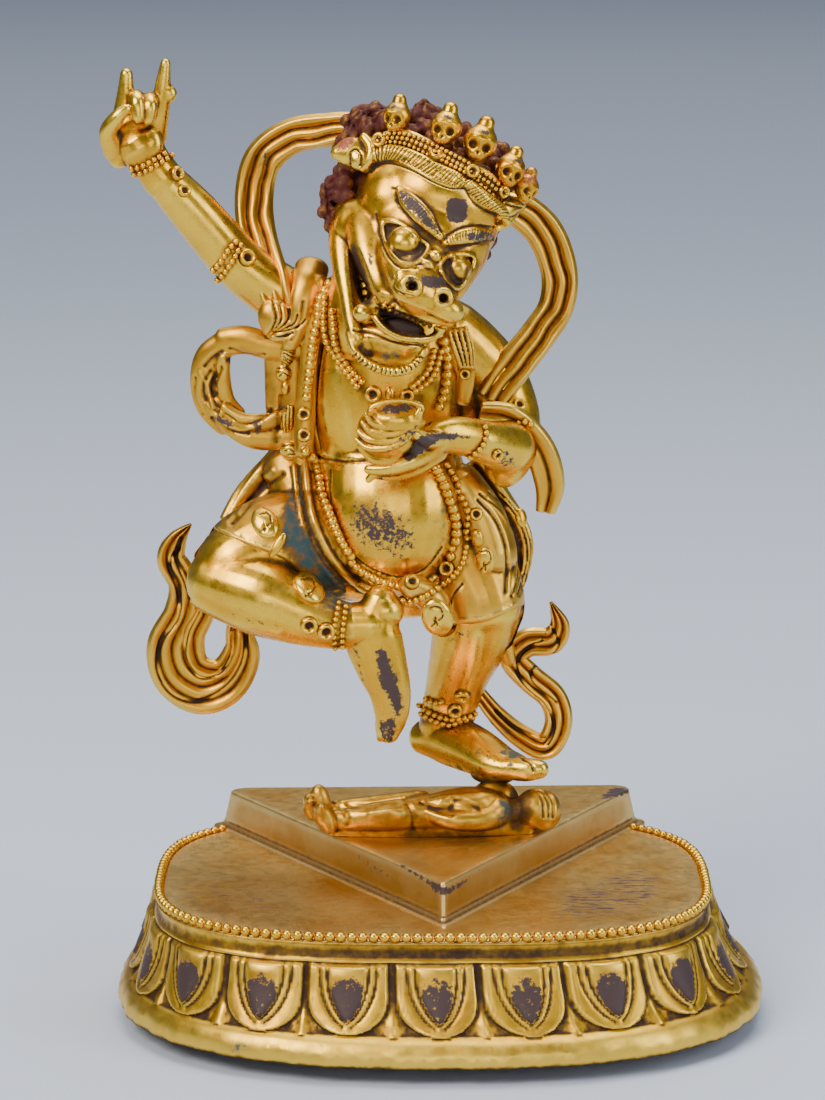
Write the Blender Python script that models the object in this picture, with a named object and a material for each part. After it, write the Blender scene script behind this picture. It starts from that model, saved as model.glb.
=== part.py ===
"""A small gilt casting: an animal-headed dancing figure on a trampled body, on a triangular plinth and lotus base.

Metres, +Z up. The origin is the centre of the base's flat underside, and the figure faces -Y.
"""

import math

import bmesh
import bpy
from mathutils import Matrix, Vector

MM = 0.001

# Driving sizes of the base
BASE_WIDTH = 114.0 * MM
BASE_DEPTH = 95.0 * MM
RIM_WIDTH = 98.0 * MM
RIM_DEPTH = 80.6 * MM
RIM_SETBACK = 1.5 * MM
RIM_OFFSET = -1.4 * MM
FOOT_POWER = 2.4
RIM_POWER = 3.0
FOOT_BAND = 4.6 * MM
PETAL_BAND = 11.4 * MM
NECK_BAND = 3.2 * MM
BEAD_DIAMETER = 1.8 * MM
PETAL_PITCH = 15.8 * MM
PETAL_RELIEF = 1.3 * MM
BOSS_RELIEF = 1.1 * MM

# Driving sizes of the triangular plinth
PLINTH_SIDE = 77.5 * MM
PLINTH_HEIGHT = 6.9 * MM
PLINTH_BATTER = 0.7 * MM
PLINTH_CORNER = 2.6 * MM
PLINTH_BACK_MARGIN = 3.8 * MM
PLINTH_OFFSET = -1.1 * MM
PLINTH_TURN = math.radians(1.7)

# Driving sizes of the two figures
FIGURE_HEIGHT = 127.9 * MM
BODY_LENGTH = 46.0 * MM
SEAT_GAP = 0.3 * MM

# Levels that follow from the sizes above
DECK_LEVEL = FOOT_BAND + PETAL_BAND + NECK_BAND + BEAD_DIAMETER / 2
PLINTH_TOP = DECK_LEVEL + PLINTH_HEIGHT
PLINTH_BACK = RIM_SETBACK + RIM_DEPTH / 2 - PLINTH_BACK_MARGIN
PLINTH_CENTRE_Y = PLINTH_BACK - PLINTH_SIDE * math.sqrt(3) / 6

# The figure is drawn in units of its own height, and the body in units of its own length
FIGURE_UNITS_TALL = 126.0
UNIT = FIGURE_HEIGHT / FIGURE_UNITS_TALL
BODY_UNITS_LONG = 46.0
BODY_UNIT = BODY_LENGTH / BODY_UNITS_LONG
BODY_TOP_UNITS = 8.4
SOLE_LEVEL = PLINTH_TOP + SEAT_GAP + BODY_TOP_UNITS * BODY_UNIT + SEAT_GAP
FIGURE_PLACE = Vector((-0.6 * UNIT, PLINTH_CENTRE_Y - 5.1 * UNIT, SOLE_LEVEL))
BODY_PLACE = Vector((-0.6 * BODY_UNIT, PLINTH_CENTRE_Y - 17.4 * BODY_UNIT, PLINTH_TOP + SEAT_GAP))

# The head is drawn upright in its own frame, then leans towards its left shoulder
HEAD_PLACE = Vector((-3.9, -7.0, 96.7))
HEAD_LEAN = math.radians(25.0)
HEAD_LIFT = math.radians(-11.0)

# How finely the castings are resolved
SKIN_UNITS = 0.52
FIGURE_FACE_SHARE = 0.025
BODY_FACE_SHARE = 0.05
LIMB_SIDES = 14
STEPS_PER_SPAN = 5
VIEWER = Vector((0.0, -1.0, 0.0))


def clear_scene():
    for obj in list(bpy.data.objects):
        bpy.data.objects.remove(obj, do_unlink=True)


def gilt(name, colour, roughness):
    material = bpy.data.materials.new(name)
    material.use_nodes = True
    shader = material.node_tree.nodes["Principled BSDF"]
    shader.inputs["Base Color"].default_value = (*colour, 1.0)
    shader.inputs["Metallic"].default_value = 1.0
    shader.inputs["Roughness"].default_value = roughness
    return material


def finish_object(bm, name, material):
    bmesh.ops.recalc_face_normals(bm, faces=bm.faces)
    mesh = bpy.data.meshes.new(name)
    bm.to_mesh(mesh)
    bm.free()
    mesh.shade_smooth()
    mesh.materials.append(material)
    obj = bpy.data.objects.new(name, mesh)
    bpy.context.scene.collection.objects.link(obj)
    return obj


# Smooth curves

def curve_value(values, t):
    """Catmull-Rom value at t, counted in spans, of numbers or vectors."""
    last = len(values) - 1
    i = min(int(t), last - 1)
    f = t - i
    p0 = values[max(i - 1, 0)]
    p1 = values[i]
    p2 = values[i + 1]
    p3 = values[min(i + 2, last)]
    return 0.5 * (
        p1 * 2.0
        + (p2 - p0) * f
        + (p0 * 2.0 - p1 * 5.0 + p2 * 4.0 - p3) * f * f
        + (p1 * 3.0 - p0 - p2 * 3.0 + p3) * f * f * f
    )


def smooth_run(values):
    """Values eased through the given ones, STEPS_PER_SPAN to a span."""
    spans = len(values) - 1
    count = spans * STEPS_PER_SPAN
    return [curve_value(values, spans * k / count) for k in range(count + 1)]


def direction_at(points, k):
    ahead = points[min(k + 1, len(points) - 1)]
    behind = points[max(k - 1, 0)]
    return (ahead - behind).normalized()


# Closed shapes, each added to a casting as a body that overlaps its neighbours

def loft(bm, rings):
    """Joins closed rings of equal count, and closes each end with a fan."""
    rows = [[bm.verts.new(point) for point in ring] for ring in rings]
    count = len(rows[0])
    for lower, upper in zip(rows, rows[1:]):
        for k in range(count):
            n = (k + 1) % count
            bm.faces.new((lower[k], lower[n], upper[n], upper[k]))
    for row, turned in ((rows[0], True), (rows[-1], False)):
        middle = bm.verts.new(sum((v.co for v in row), Vector()) / count)
        for k in range(count):
            pair = (row[(k + 1) % count], row[k])
            corners = pair if turned else pair[::-1]
            bm.faces.new((*corners, middle))


def limb(bm, points, radii, facing=VIEWER, frame=None):
    """A rounded limb along points. A radius is one number, or (across, towards the viewer)."""
    frame = frame or Matrix.Identity(4)
    facing = frame.to_3x3() @ facing
    path = smooth_run([frame @ Vector(p) for p in points])
    pairs = [r if isinstance(r, tuple) else (r, r) for r in radii]
    wide = smooth_run([pair[0] for pair in pairs])
    deep = smooth_run([pair[1] for pair in pairs])
    rings = []
    for k, centre in enumerate(path):
        along = direction_at(path, k)
        across = along.cross(facing).normalized()
        front = across.cross(along).normalized()
        ring = []
        for s in range(LIMB_SIDES):
            angle = 2 * math.pi * s / LIMB_SIDES
            ring.append(centre + across * (wide[k] * math.cos(angle)) + front * (deep[k] * math.sin(angle)))
        rings.append(ring)
    loft(bm, domed(rings))


def domed(rings):
    """Rounds both ends of a limb with two smaller rings."""
    first = sum(rings[0], Vector()) / len(rings[0])
    last = sum(rings[-1], Vector()) / len(rings[-1])
    out_first = (first - sum(rings[1], Vector()) / len(rings[1])).normalized()
    out_last = (last - sum(rings[-2], Vector()) / len(rings[-2])).normalized()
    start = [cap_ring(rings[0], first, out_first, turn) for turn in (70, 40)]
    end = [cap_ring(rings[-1], last, out_last, turn) for turn in (40, 70)]
    return start + rings + end


def cap_ring(ring, centre, outward, degrees):
    turn = math.radians(degrees)
    reach = min((point - centre).length for point in ring) * math.sin(turn)
    return [centre + (point - centre) * math.cos(turn) + outward * reach for point in ring]


def blob(bm, centre, radii, lean=0.0, frame=None):
    """An ellipsoid, leaning in the picture plane by degrees."""
    frame = frame or Matrix.Identity(4)
    turn = Matrix.Rotation(math.radians(lean), 4, "Y")
    size = Matrix.Diagonal((*radii, 1.0))
    place = frame @ Matrix.Translation(centre) @ turn @ size
    bmesh.ops.create_uvsphere(bm, u_segments=16, v_segments=10, radius=1.0, matrix=place)


def ribbon(bm, points, widths, thickness, ridges=2, facing=VIEWER):
    """A cast scarf: a flat band along points, with lengthwise ridges on its face."""
    path = smooth_run([Vector(p) for p in points])
    wide = smooth_run(list(widths))
    samples = 4 * ridges + 1
    rings = []
    for k, centre in enumerate(path):
        along = direction_at(path, k)
        across = along.cross(facing).normalized()
        front = across.cross(along).normalized()
        face = []
        back = []
        for s in range(samples):
            share = s / (samples - 1)
            place = centre + across * (wide[k] * (share - 0.5))
            swell = 0.45 + 0.55 * abs(math.sin(math.pi * ridges * share))
            face.append(place + front * (thickness * swell))
            back.append(place - front * (thickness * 0.45))
        rings.append(face + back[::-1])
    loft(bm, rings)


def in_units(bm, unit):
    """Turns a casting drawn in units into metres, about its own origin."""
    bmesh.ops.scale(bm, vec=(unit, unit, unit), verts=bm.verts)


def cast_as_one(obj, skin, share):
    """Melts overlapping bodies into one skin, then thins its faces."""
    remesh = obj.modifiers.new("one skin", "REMESH")
    remesh.mode = "VOXEL"
    remesh.voxel_size = skin
    remesh.adaptivity = 0.0
    decimate = obj.modifiers.new("fewer faces", "DECIMATE")
    decimate.decimate_type = "COLLAPSE"
    decimate.ratio = share


# The dancing figure, in units of its height

def add_torso(bm):
    limb(
        bm,
        [(-5, 4, 35.4), (-5, 3, 40), (-6.5, 0, 49), (-7.4, 0, 57.7), (-7.2, 1, 67), (-7.5, 2, 76), (-6.5, 0, 83)],
        [(11, 8), (14, 9.5), (13, 10), (11.5, 9), (12.5, 9), (13, 8), (7, 6)],
    )
    blob(bm, (-7.9, -5, 47), (11.8, 9.6, 12.4))
    blob(bm, (-8.5, -3, 68.5), (11.0, 7.5, 9.0))
    blob(bm, (-6.0, 2, 39.4), (17.0, 10.5, 6.8), -8)
    blob(bm, (4.4, 1.5, 66.5), (3.4, 4.0, 5.0))
    blob(bm, (-25.6, 1, 51.4), (2.6, 2.4, 3.6))


def add_raised_arm(bm):
    limb(
        bm,
        [(-15, 3, 75.5), (-21.6, 3, 80.4), (-27.6, 2, 85.2), (-34, 1, 90.2), (-41.8, 0, 99.4), (-48.2, -1, 106.6)],
        [6.2, 6.0, 5.3, 4.7, 4.2, 3.3],
    )
    limb(bm, [(-35.4, 1, 91.6), (-37.2, 1, 93.7)], [5.0, 4.9])
    limb(bm, [(-46.4, -1, 105.0), (-48.8, -1, 107.6)], [4.1, 4.2])
    add_raised_hand(bm)


def add_raised_hand(bm):
    """The hand held a lost attribute, so its fingers curl round empty hollows."""
    blob(bm, (-51.8, -1.5, 112.0), (4.6, 3.4, 4.8), -12)
    blob(bm, (-52.6, -2.5, 115.5), (4.4, 2.8, 4.0))
    limb(bm, [(-48.4, -2, 112), (-47.6, -3.2, 117), (-46.6, -3, 121), (-46.2, -3, 125.0)], [2.0, 1.7, 1.3, 0.8])
    limb(bm, [(-53.4, -2, 116), (-52.9, -2.4, 120.5), (-52.7, -2, 123.4)], [1.9, 1.5, 1.1])
    limb(bm, [(-50.2, -4, 113), (-50.6, -5.2, 117.4), (-49.4, -3.6, 119.6)], [1.6, 1.6, 1.3])
    limb(bm, [(-55.2, -3.5, 112), (-56.2, -4.2, 116.4), (-54.6, -3.4, 118.6)], [1.6, 1.6, 1.3])
    blob(bm, (-45.6, -2.5, 119.4), (1.5, 1.4, 1.4))


def add_cup_arm(bm):
    limb(
        bm,
        [(1.4, 3, 77.4), (5.2, 3.4, 74.2), (9.4, 3.2, 69.8), (12.5, 1, 63.4), (12.6, -4, 58.8)],
        [6.8, 6.7, 6.3, 5.5, 4.9],
    )
    blob(bm, (12.0, -5.5, 58.4), (4.1, 5.0, 5.9), 12)
    limb(
        bm,
        [(12, -7, 59.6), (8.4, -12, 61.2), (4, -16, 63), (-0.5, -19, 62.6), (-5.5, -21, 60.4)],
        [4.9, (3.9, 3.7), (3.4, 3.0), (3.1, 2.4), (2.6, 2.0)],
    )
    limb(bm, [(8.4, -12.1, 61.2), (7.0, -13.4, 61.8)], [4.3, 4.2])
    limb(bm, [(11.2, 1.6, 64.6), (12.0, 0.8, 63.0)], [6.0, 6.0])
    limb(
        bm,
        [(-8.8, -18.6, 59.4), (-8.0, -19.0, 62.4), (-7.0, -19.2, 65.4), (-6.9, -19.2, 68.2)],
        [(2.9, 3.0), (4.6, 4.0), (4.5, 4.2), (4.4, 4.2)],
    )
    blob(bm, (-4.6, -20.4, 61.2), (5.6, 2.4, 2.4), -28)


def add_raised_leg(bm):
    limb(
        bm,
        [(-10, 2, 40), (-18, -1, 41), (-27, -5, 41), (-33.5, -7.5, 39.6), (-37.0, -8.5, 36.6)],
        [9.5, 9.2, 8.6, 7.6, 6.3],
    )
    limb(
        bm,
        [(-37, -9, 36.4), (-30, -12, 34.6), (-23.6, -13.4, 32), (-16.8, -13.6, 29.9), (-12.4, -13.6, 29.8)],
        [6.3, 7.0, 5.7, 4.4, 4.1],
    )
    limb(bm, [(-16.8, -13.6, 29.9), (-14.6, -13.6, 29.7)], [4.9, 4.9])
    limb(
        bm,
        [(-9.8, -13.4, 33.4), (-11.2, -13.8, 28.5), (-10.0, -14.2, 23.5), (-8.2, -14.4, 18.6), (-8.0, -14.4, 14.4),
         (-9.2, -14.4, 9.6)],
        [(3.4, 3.4), (5.0, 3.8), (4.7, 3.2), (3.6, 2.7), (2.7, 2.2), (1.5, 1.5)],
    )


def add_standing_leg(bm):
    limb(bm, [(0.4, 3, 40), (4.8, 1, 36), (7.3, -1.6, 31.4)], [9.0, 8.6, 7.6])
    limb(
        bm,
        [(7.3, -1.6, 31.6), (5.9, 0, 25), (3.9, 3, 18), (2.3, 6, 11.6), (1.5, 7.4, 7.4)],
        [7.4, 6.9, 5.7, 4.8, 4.8],
    )
    limb(bm, [(2.7, 5.2, 13.6), (2.3, 6.0, 11.4)], [5.6, 5.6])
    limb(
        bm,
        [(-1.0, 8.8, 3.1), (2.2, 6.2, 4.3), (6.4, 1.6, 4.2), (10.8, -2.6, 3.1), (15.6, -5.6, 2.7)],
        [(3.8, 4.0), (4.6, 5.0), (4.6, 4.2), (4.4, 3.0), (3.0, 2.4)],
        facing=Vector((0.0, 0.0, 1.0)),
    )
    limb(bm, [(11.5, -4.6, 3.2), (17.0, -6.6, 3.4)], [2.0, 1.8])


def add_skirt(bm):
    """The short skirt over both thighs, with its flying folds at the hips."""
    limb(
        bm,
        [(-14, 0, 43), (-22, -4, 42.6), (-28.5, -6.2, 41.8), (-33.0, -7, 40.4)],
        [(9.8, 9.8), (9.6, 9.6), (9.2, 9.0), (7.9, 7.9)],
    )
    limb(bm, [(2, 3, 42), (5, 1, 37), (7.2, -1.2, 31.8)], [(9.4, 10.0), (8.9, 9.2), (8.1, 8.3)])
    ribbon(bm, [(-24, 2, 59), (-28, 2, 54.5), (-32.5, 1, 49.5), (-36.4, -1, 44.4)], [6, 6, 6, 5], 1.5, 2)
    ribbon(bm, [(5, 2, 55), (9.6, 3, 48.5), (13.4, 3, 41), (12.9, 2, 33.5)], [7, 7, 7, 5], 1.6, 3)
    limb(bm, [(-4.5, -13.0, 36.5), (-1.0, -12.0, 34.0), (1.0, -11.2, 29.6)], [2.2, 2.6, 2.4])


def add_jewellery(bm):
    """Strands of beads over the chest and round the belly, as raised rolls."""
    limb(
        bm,
        [(-20.1, -3.2, 86), (-21.4, -5.6, 79), (-22.4, -6.4, 70), (-22.6, -6.4, 60), (-21.2, -7.6, 54), (-18.6, -10.6, 46.6),
         (-13.6, -12.6, 39.6), (-6.6, -13.4, 36.6), (0.6, -12.4, 39.4), (3.4, -10.4, 46), (2.4, -9.4, 53), (0.4, -8.4, 58.4)],
        [1.1, 1.2, 1.3, 1.3, 1.2, 1.2, 1.2, 1.4, 1.5, 1.3, 1.2, 1.1],
    )
    limb(
        bm,
        [(-18.2, -3.6, 87), (-18.2, -8.0, 80), (-15.6, -9.8, 74), (-11.1, -10.6, 70.4), (-5.3, -10.4, 70), (-2.4, -9.8, 73.3),
         (-1.0, -8.4, 79)],
        [1.4, 1.5, 1.5, 1.6, 1.6, 1.5, 1.4],
    )
    limb(bm, [(0.9, -7.0, 80), (1.2, -8.6, 73), (0.2, -9.4, 67.5)], [1.1, 1.1, 1.0])
    limb(bm, [(-25.2, -5.4, 79), (-25.6, -6.0, 72), (-25.8, -6.0, 64.6), (-25.1, -6.2, 59.7)], [1.8, 2.1, 1.7, 2.2])


def add_scarf(bm):
    """One scarf: two loops from behind the head, a loop beside the chest and two curling tails."""
    ribbon(
        bm,
        [(-13, 3, 113.4), (-18, 4.4, 113.0), (-25, 6.6, 111.6), (-30.0, 7.4, 107.6), (-31.6, 7, 101.4), (-31.0, 4, 95),
         (-28.6, -1, 88), (-26.2, -3.4, 81.6)],
        [5.6, 5.8, 6.0, 6.4, 6.6, 6.6, 6.4, 6.2],
        1.1,
        3,
    )
    ribbon(
        bm,
        [(9.6, 3, 103), (13.4, 3.6, 100), (18.4, 5, 95.3), (21.0, 5.4, 88.3), (20.0, 4, 81.4), (14.6, 0, 75.2), (9.0, -3.4, 67)],
        [5, 6.2, 6.6, 6.4, 6.4, 6.8, 6.0],
        1.1,
        3,
    )
    ribbon(
        bm,
        [(7.3, -6.6, 65.6), (12.6, -6, 64.4), (17.4, -4.4, 59), (19.4, -3.2, 52.6), (18.7, -3, 47.6)],
        [3.4, 3.8, 4.2, 4.2, 2.4],
        1.1,
        2,
    )
    ribbon(
        bm,
        [(-24, -1, 75.5), (-30, 0, 75.4), (-36.0, 1.4, 75.4), (-39.8, 2, 72), (-39.9, 2, 67), (-37.0, 2, 62.6), (-31.6, 1, 61.4),
         (-26.5, 0, 63)],
        [4.6, 4.2, 4.8, 5.4, 5.4, 5.2, 5.2, 5.4],
        1.5,
        2,
    )
    ribbon(bm, [(-28.6, -0.5, 76), (-28.4, -0.2, 69), (-28.4, 0, 62)], [5.0, 5.2, 5.0], 1.5, 2)
    blob(bm, (-25.4, -2.5, 79.4), (3.6, 3.6, 5.0), -20)
    limb(bm, [(-22.6, 0, 82), (-23.6, -1.4, 70), (-22.6, -2, 58), (-19.0, -4, 48)],
         [(4.2, 3.6), (4.4, 3.8), (4.2, 4.4), (3.6, 4.0)])
    add_tails(bm)


def add_tails(bm):
    ribbon(
        bm,
        [(-31.0, -3, 33), (-34.4, 1, 26.6), (-34.2, 3, 20.8), (-37.0, 3.6, 15.6), (-41.8, 3.6, 14), (-46.4, 3.6, 17),
         (-47.6, 3.6, 22.6), (-45.0, 3.6, 28.4), (-44.2, 3.6, 33.6), (-46.4, 3.6, 38), (-45.4, 3.6, 41.4), (-43.0, 3.6, 44.0)],
        [4.4, 4.6, 6.4, 7.2, 7.6, 7.2, 6.6, 5.8, 5.6, 5.2, 3.6, 1.0],
        1.2,
        3,
    )
    ribbon(
        bm,
        [(-42, 3.4, 33), (-40.6, 3.4, 29), (-42.6, 3.4, 24.4), (-41.8, 3.4, 19.6), (-38.2, 3.4, 18.6), (-35.8, 3, 22)],
        [2.0, 3.4, 4.0, 3.4, 3.4, 3.0],
        1.2,
        1,
    )
    ribbon(
        bm,
        [(7.4, 5.6, 13.6), (10.6, 5.2, 9.6), (15.0, 4, 6), (19.2, 2.6, 4.6), (21.4, 3, 8.6), (20.4, 4, 13), (16.4, 4, 16.6),
         (13.4, 4, 20.2), (16.0, 4, 23.0), (20.0, 4, 23.4), (21.5, 4, 26.2), (20.0, 4, 30.2)],
        [2.6, 3.4, 4.2, 4.8, 4.9, 5.0, 5.0, 4.8, 5.2, 5.0, 3.6, 0.9],
        1.2,
        2,
    )
    limb(bm, [(10.6, 0, 28.0), (11.8, 2.4, 23.4), (12.6, 4, 20)], [1.8, 1.6, 1.6])


def add_head(bm):
    """An animal head with bulging eyes, a blunt muzzle and an open jaw."""
    lift = Matrix.Rotation(HEAD_LIFT, 4, "X")
    frame = Matrix.Translation(HEAD_PLACE) @ lift @ Matrix.Rotation(HEAD_LEAN, 4, "Y")
    blob(bm, (0.4, 1.0, 4.0), (13.6, 13.0, 13.5), frame=frame)
    blob(bm, (2.2, -4.5, -0.5), (11.4, 9.4, 11.0), frame=frame)
    blob(bm, (-2.4, 4.4, 6.0), (15.6, 11.0, 13.4), -8, frame=frame)
    blob(bm, (-2.4, 6.0, -5.0), (10.8, 8.0, 11.4), frame=frame)
    limb(bm, [(-3, 0, -8), (-1, 2, -18)], [(9, 8), (8, 7)], frame=frame)
    limb(bm, [(3.8, -8, -4.6), (4.8, -13.6, -7.4), (5.9, -17.6, -9.4)], [(8.0, 6.2), (7.4, 5.0), (6.4, 3.6)],
         facing=Vector((0.0, 0.0, 1.0)), frame=frame)
    for side, nostril in ((-1, 3.4), (1, 8.9)):
        blob(bm, (nostril, -18.8, -8.0), (2.3, 2.0, 2.0), frame=frame)
        blob(bm, (3.8 + side * 4.9, -13.2, -1.6), (3.1, 2.4, 2.3), side * 8, frame=frame)
        limb(bm, [(4.0 + side * 1.6, -14.2, 2.2), (4.0 + side * 5.0, -13.6, 4.4), (4.0 + side * 8.6, -10.8, 6.0)],
             [1.1, 1.5, 0.9], frame=frame)
    limb(bm, [(-9.0, -1, 1), (-12.4, -2.6, -4), (-10.0, -5.6, -11), (-5.2, -9.0, -17.4), (3.4, -12.0, -20.6), (9.8, -10.0, -16.8)],
         [3.0, 3.8, 3.0, 2.6, 2.8, 2.2], frame=frame)
    blob(bm, (3.0, -7.5, -19.4), (6.8, 6.0, 3.6), -6, frame=frame)
    limb(bm, [(12.0, -5, 0), (12.4, -7.4, -5), (10.6, -10, -11)], [2.4, 2.6, 2.0], frame=frame)
    add_crown(bm, frame)


def add_crown(bm, frame):
    """Hair fringe, diadem, five skulls and the ears."""
    limb(bm, [(-12.4, -6.4, 7.4), (-9.4, -10.2, 10.6), (-2.0, -12.6, 11.2), (4.2, -12.4, 11.4), (9.0, -10.8, 10.4),
              (12.8, -7.0, 8.6)], [1.2, 1.5, 1.5, 1.4, 1.4, 1.1], frame=frame)
    limb(bm, [(-11.8, -4.6, 12.6), (-6.6, -9.2, 14.8), (1.6, -10.8, 15.2), (8.6, -8.8, 14.4), (13.2, -4.4, 12.4)],
         [1.6, 1.8, 1.8, 1.8, 1.6], frame=frame)
    for across, depth, up in ((-11.2, -3.6, 17.4), (-2.9, -7.4, 19.3), (4.0, -7.8, 19.3), (10.0, -5.4, 17.9), (14.0, -1.6, 16.2)):
        limb(bm, [(across * 0.9, depth + 1.4, up - 4.4), (across, depth, up)], [2.2, 1.9], frame=frame)
        blob(bm, (across, depth, up), (2.2, 2.2, 2.4), frame=frame)
        blob(bm, (across * 1.02, depth, up + 2.7), (1.0, 1.0, 1.2), frame=frame)
    blob(bm, (-15.2, -2.0, 8.2), (3.1, 1.7, 2.6), -20, frame=frame)
    blob(bm, (13.6, -1.8, 11.0), (2.2, 1.6, 2.4), 20, frame=frame)
    for across, up, size in ((-14.8, 12.4, 3.0), (-15.0, 1.6, 2.8), (-14.2, -3, 2.6), (-7.6, 15.6, 3.2), (0, 16.8, 3.2), (7.6, 15.4, 3.0)):
        blob(bm, (across, 2.6, up), (size, size, size), frame=frame)


def build_figure(material):
    bm = bmesh.new()
    for add in (add_torso, add_raised_arm, add_cup_arm, add_raised_leg, add_standing_leg, add_skirt, add_jewellery,
                add_scarf, add_head):
        add(bm)
    in_units(bm, UNIT)
    obj = finish_object(bm, "dancing_figure", material)
    obj.location = FIGURE_PLACE
    cast_as_one(obj, SKIN_UNITS * UNIT, FIGURE_FACE_SHARE)


# The trampled body, in units of its length, z from the plinth's top

def build_trampled_body(material):
    bm = bmesh.new()
    limb(bm, [(-18, 4, 2.4), (-10, 3.4, 3.4), (-3, 4, 3.9), (3, 5, 4.4)], [2.0, 2.7, 3.2, 3.8])
    limb(bm, [(-20, 9.4, 2.4), (-12, 9.2, 3.4), (-3, 8, 4.2)], [2.0, 2.3, 2.9])
    limb(bm, [(-18.4, 4, 2.2), (-20.0, 2.6, 3.4), (-20.4, 2.0, 4.8)], [1.9, 1.8, 1.3])
    limb(bm, [(-20.4, 9.4, 2.2), (-22.2, 8.4, 3.6), (-22.4, 8.0, 5.0)], [1.9, 1.8, 1.3])
    blob(bm, (5.6, 5.6, 4.2), (7.4, 5.2, 4.1))
    limb(bm, [(-1.6, 2.6, 3.8), (3.6, 1.2, 3.2), (9.0, 2.2, 3.2), (10.8, 4.6, 4.2)], [1.6, 2.0, 2.4, 2.8])
    blob(bm, (1.2, 2.8, 5.6), (3.6, 2.2, 2.0), 10)
    limb(bm, [(10, 5.2, 3.4), (14.6, 6, 3.2)], [2.6, 2.4])
    blob(bm, (10.2, 8.8, 4.6), (3.8, 2.8, 3.7))
    blob(bm, (17.6, 6.4, 3.9), (4.0, 3.9, 3.9))
    blob(bm, (-2.0, 5.0, 0.9), (22.0, 6.4, 0.9))
    in_units(bm, BODY_UNIT)
    bmesh.ops.bisect_plane(bm, geom=bm.verts[:] + bm.edges[:] + bm.faces[:], plane_co=(0, 0, 0),
                           plane_no=(0, 0, -1), clear_outer=True)
    bmesh.ops.holes_fill(bm, edges=[edge for edge in bm.edges if edge.is_boundary])
    obj = finish_object(bm, "trampled_body", material)
    obj.location = BODY_PLACE
    cast_as_one(obj, SKIN_UNITS * BODY_UNIT, BODY_FACE_SHARE)


# The lotus base and its plinth

def plan_outline(width, depth, power, shares):
    """Points at shares of the way round, from the back, of a rounded rectangle of the given power."""
    fine_count = 3000
    fine = []
    for k in range(fine_count + 1):
        angle = 2 * math.pi * k / fine_count + math.pi / 2
        c, s = math.cos(angle), math.sin(angle)
        x = width / 2 * math.copysign(abs(c) ** (2 / power), c)
        y = depth / 2 * math.copysign(abs(s) ** (2 / power), s)
        fine.append(Vector((x, y, 0.0)))
    walked = [0.0]
    for behind, ahead in zip(fine, fine[1:]):
        walked.append(walked[-1] + (ahead - behind).length)
    outline = []
    k = 0
    for share in shares:
        target = share * walked[-1]
        while walked[k + 1] <= target and k + 2 < len(walked):
            k += 1
        outline.append(fine[k].lerp(fine[k + 1], (target - walked[k]) / (walked[k + 1] - walked[k])))
    return outline


# Where the columns of points stand across one petal, from its valley on
PETAL_COLUMNS = (-1.0, -0.86, -0.36, 0.36, 0.86)


def petal_relief(across, down):
    """Relief of one hanging petal: a lobe with a raised rim, and an oval boss."""
    lobe_edge = 0.92 * max(0.0, 1.0 - (max(0.0, down - 0.45) / 0.55) ** 3) ** 0.5
    boss_edge = 0.50 * max(0.0, 1.0 - (down / 0.80) ** 4) ** 0.5
    lobe = min(1.0, max(0.0, (lobe_edge - abs(across)) * 8.0))
    boss = min(1.0, max(0.0, (boss_edge - abs(across)) * 3.0))
    return PETAL_RELIEF * lobe + BOSS_RELIEF * boss


def around_an_oval(width, depth):
    """The length round an ellipse, by Ramanujan's rule."""
    a, b = width / 2, depth / 2
    return math.pi * (3 * (a + b) - math.sqrt((3 * a + b) * (a + 3 * b)))


def petal_stations(petals):
    """Shares of the way round for the outline's points. An odd number of petals has one facing the front."""
    shares = []
    for petal in range(petals):
        shares += [(petal + (across + 1.0) / 2) / petals for across in PETAL_COLUMNS]
    return shares


def build_lotus_base(material):
    pairs = max(4, round(around_an_oval(BASE_WIDTH, BASE_DEPTH) / PETAL_PITCH / 2 - 0.5))
    shares = petal_stations(2 * pairs + 1)
    foot = plan_outline(BASE_WIDTH, BASE_DEPTH, FOOT_POWER, shares)
    rim = plan_outline(RIM_WIDTH, RIM_DEPTH, RIM_POWER, shares)
    rim_place = Vector((RIM_OFFSET, RIM_SETBACK, 0.0))
    rim = [point + rim_place for point in rim]
    petal_top = FOOT_BAND + PETAL_BAND
    neck_top = petal_top + NECK_BAND
    rows = [(0.0, 0.0, None), (FOOT_BAND * 0.5, 0.02, None), (FOOT_BAND, 0.30, None)]
    for down in (1.0, 0.86, 0.68, 0.40, 0.04):
        rows.append((petal_top - PETAL_BAND * down, 0.98 - 0.62 * down ** 1.5, down))
    rows += [(petal_top, 1.06, None), (petal_top + NECK_BAND * 0.5, 1.10, None), (neck_top, 1.03, None)]
    rings = []
    for level, inward, down in rows:
        ring = []
        for k, share in enumerate(shares):
            point = foot[k].lerp(rim[k], inward)
            outward = (foot[k] - rim[k]).normalized()
            if down is not None:
                across = PETAL_COLUMNS[k % len(PETAL_COLUMNS)]
                point = point + outward * (petal_relief(across, down) - PETAL_RELIEF / 2)
            ring.append(Vector((point.x, point.y, level)))
        rings.append(ring)
    for turn in (-50, 10, 80):
        angle = math.radians(turn)
        level = neck_top + BEAD_DIAMETER / 2 * (1.0 + math.sin(angle))
        rings.append(inset_ring(rim, BEAD_DIAMETER / 2 * (1.0 - math.cos(angle)), level))
    rings.append(inset_ring(rim, 1.2 * BEAD_DIAMETER, DECK_LEVEL))
    bm = bmesh.new()
    loft(bm, rings)
    bmesh.ops.triangulate(bm, faces=bm.faces)
    base = finish_object(bm, "lotus_base", material)
    plinth = build_plinth(material)
    union = base.modifiers.new("plinth cast on", "BOOLEAN")
    union.operation = "UNION"
    union.solver = "EXACT"
    union.object = plinth


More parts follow.
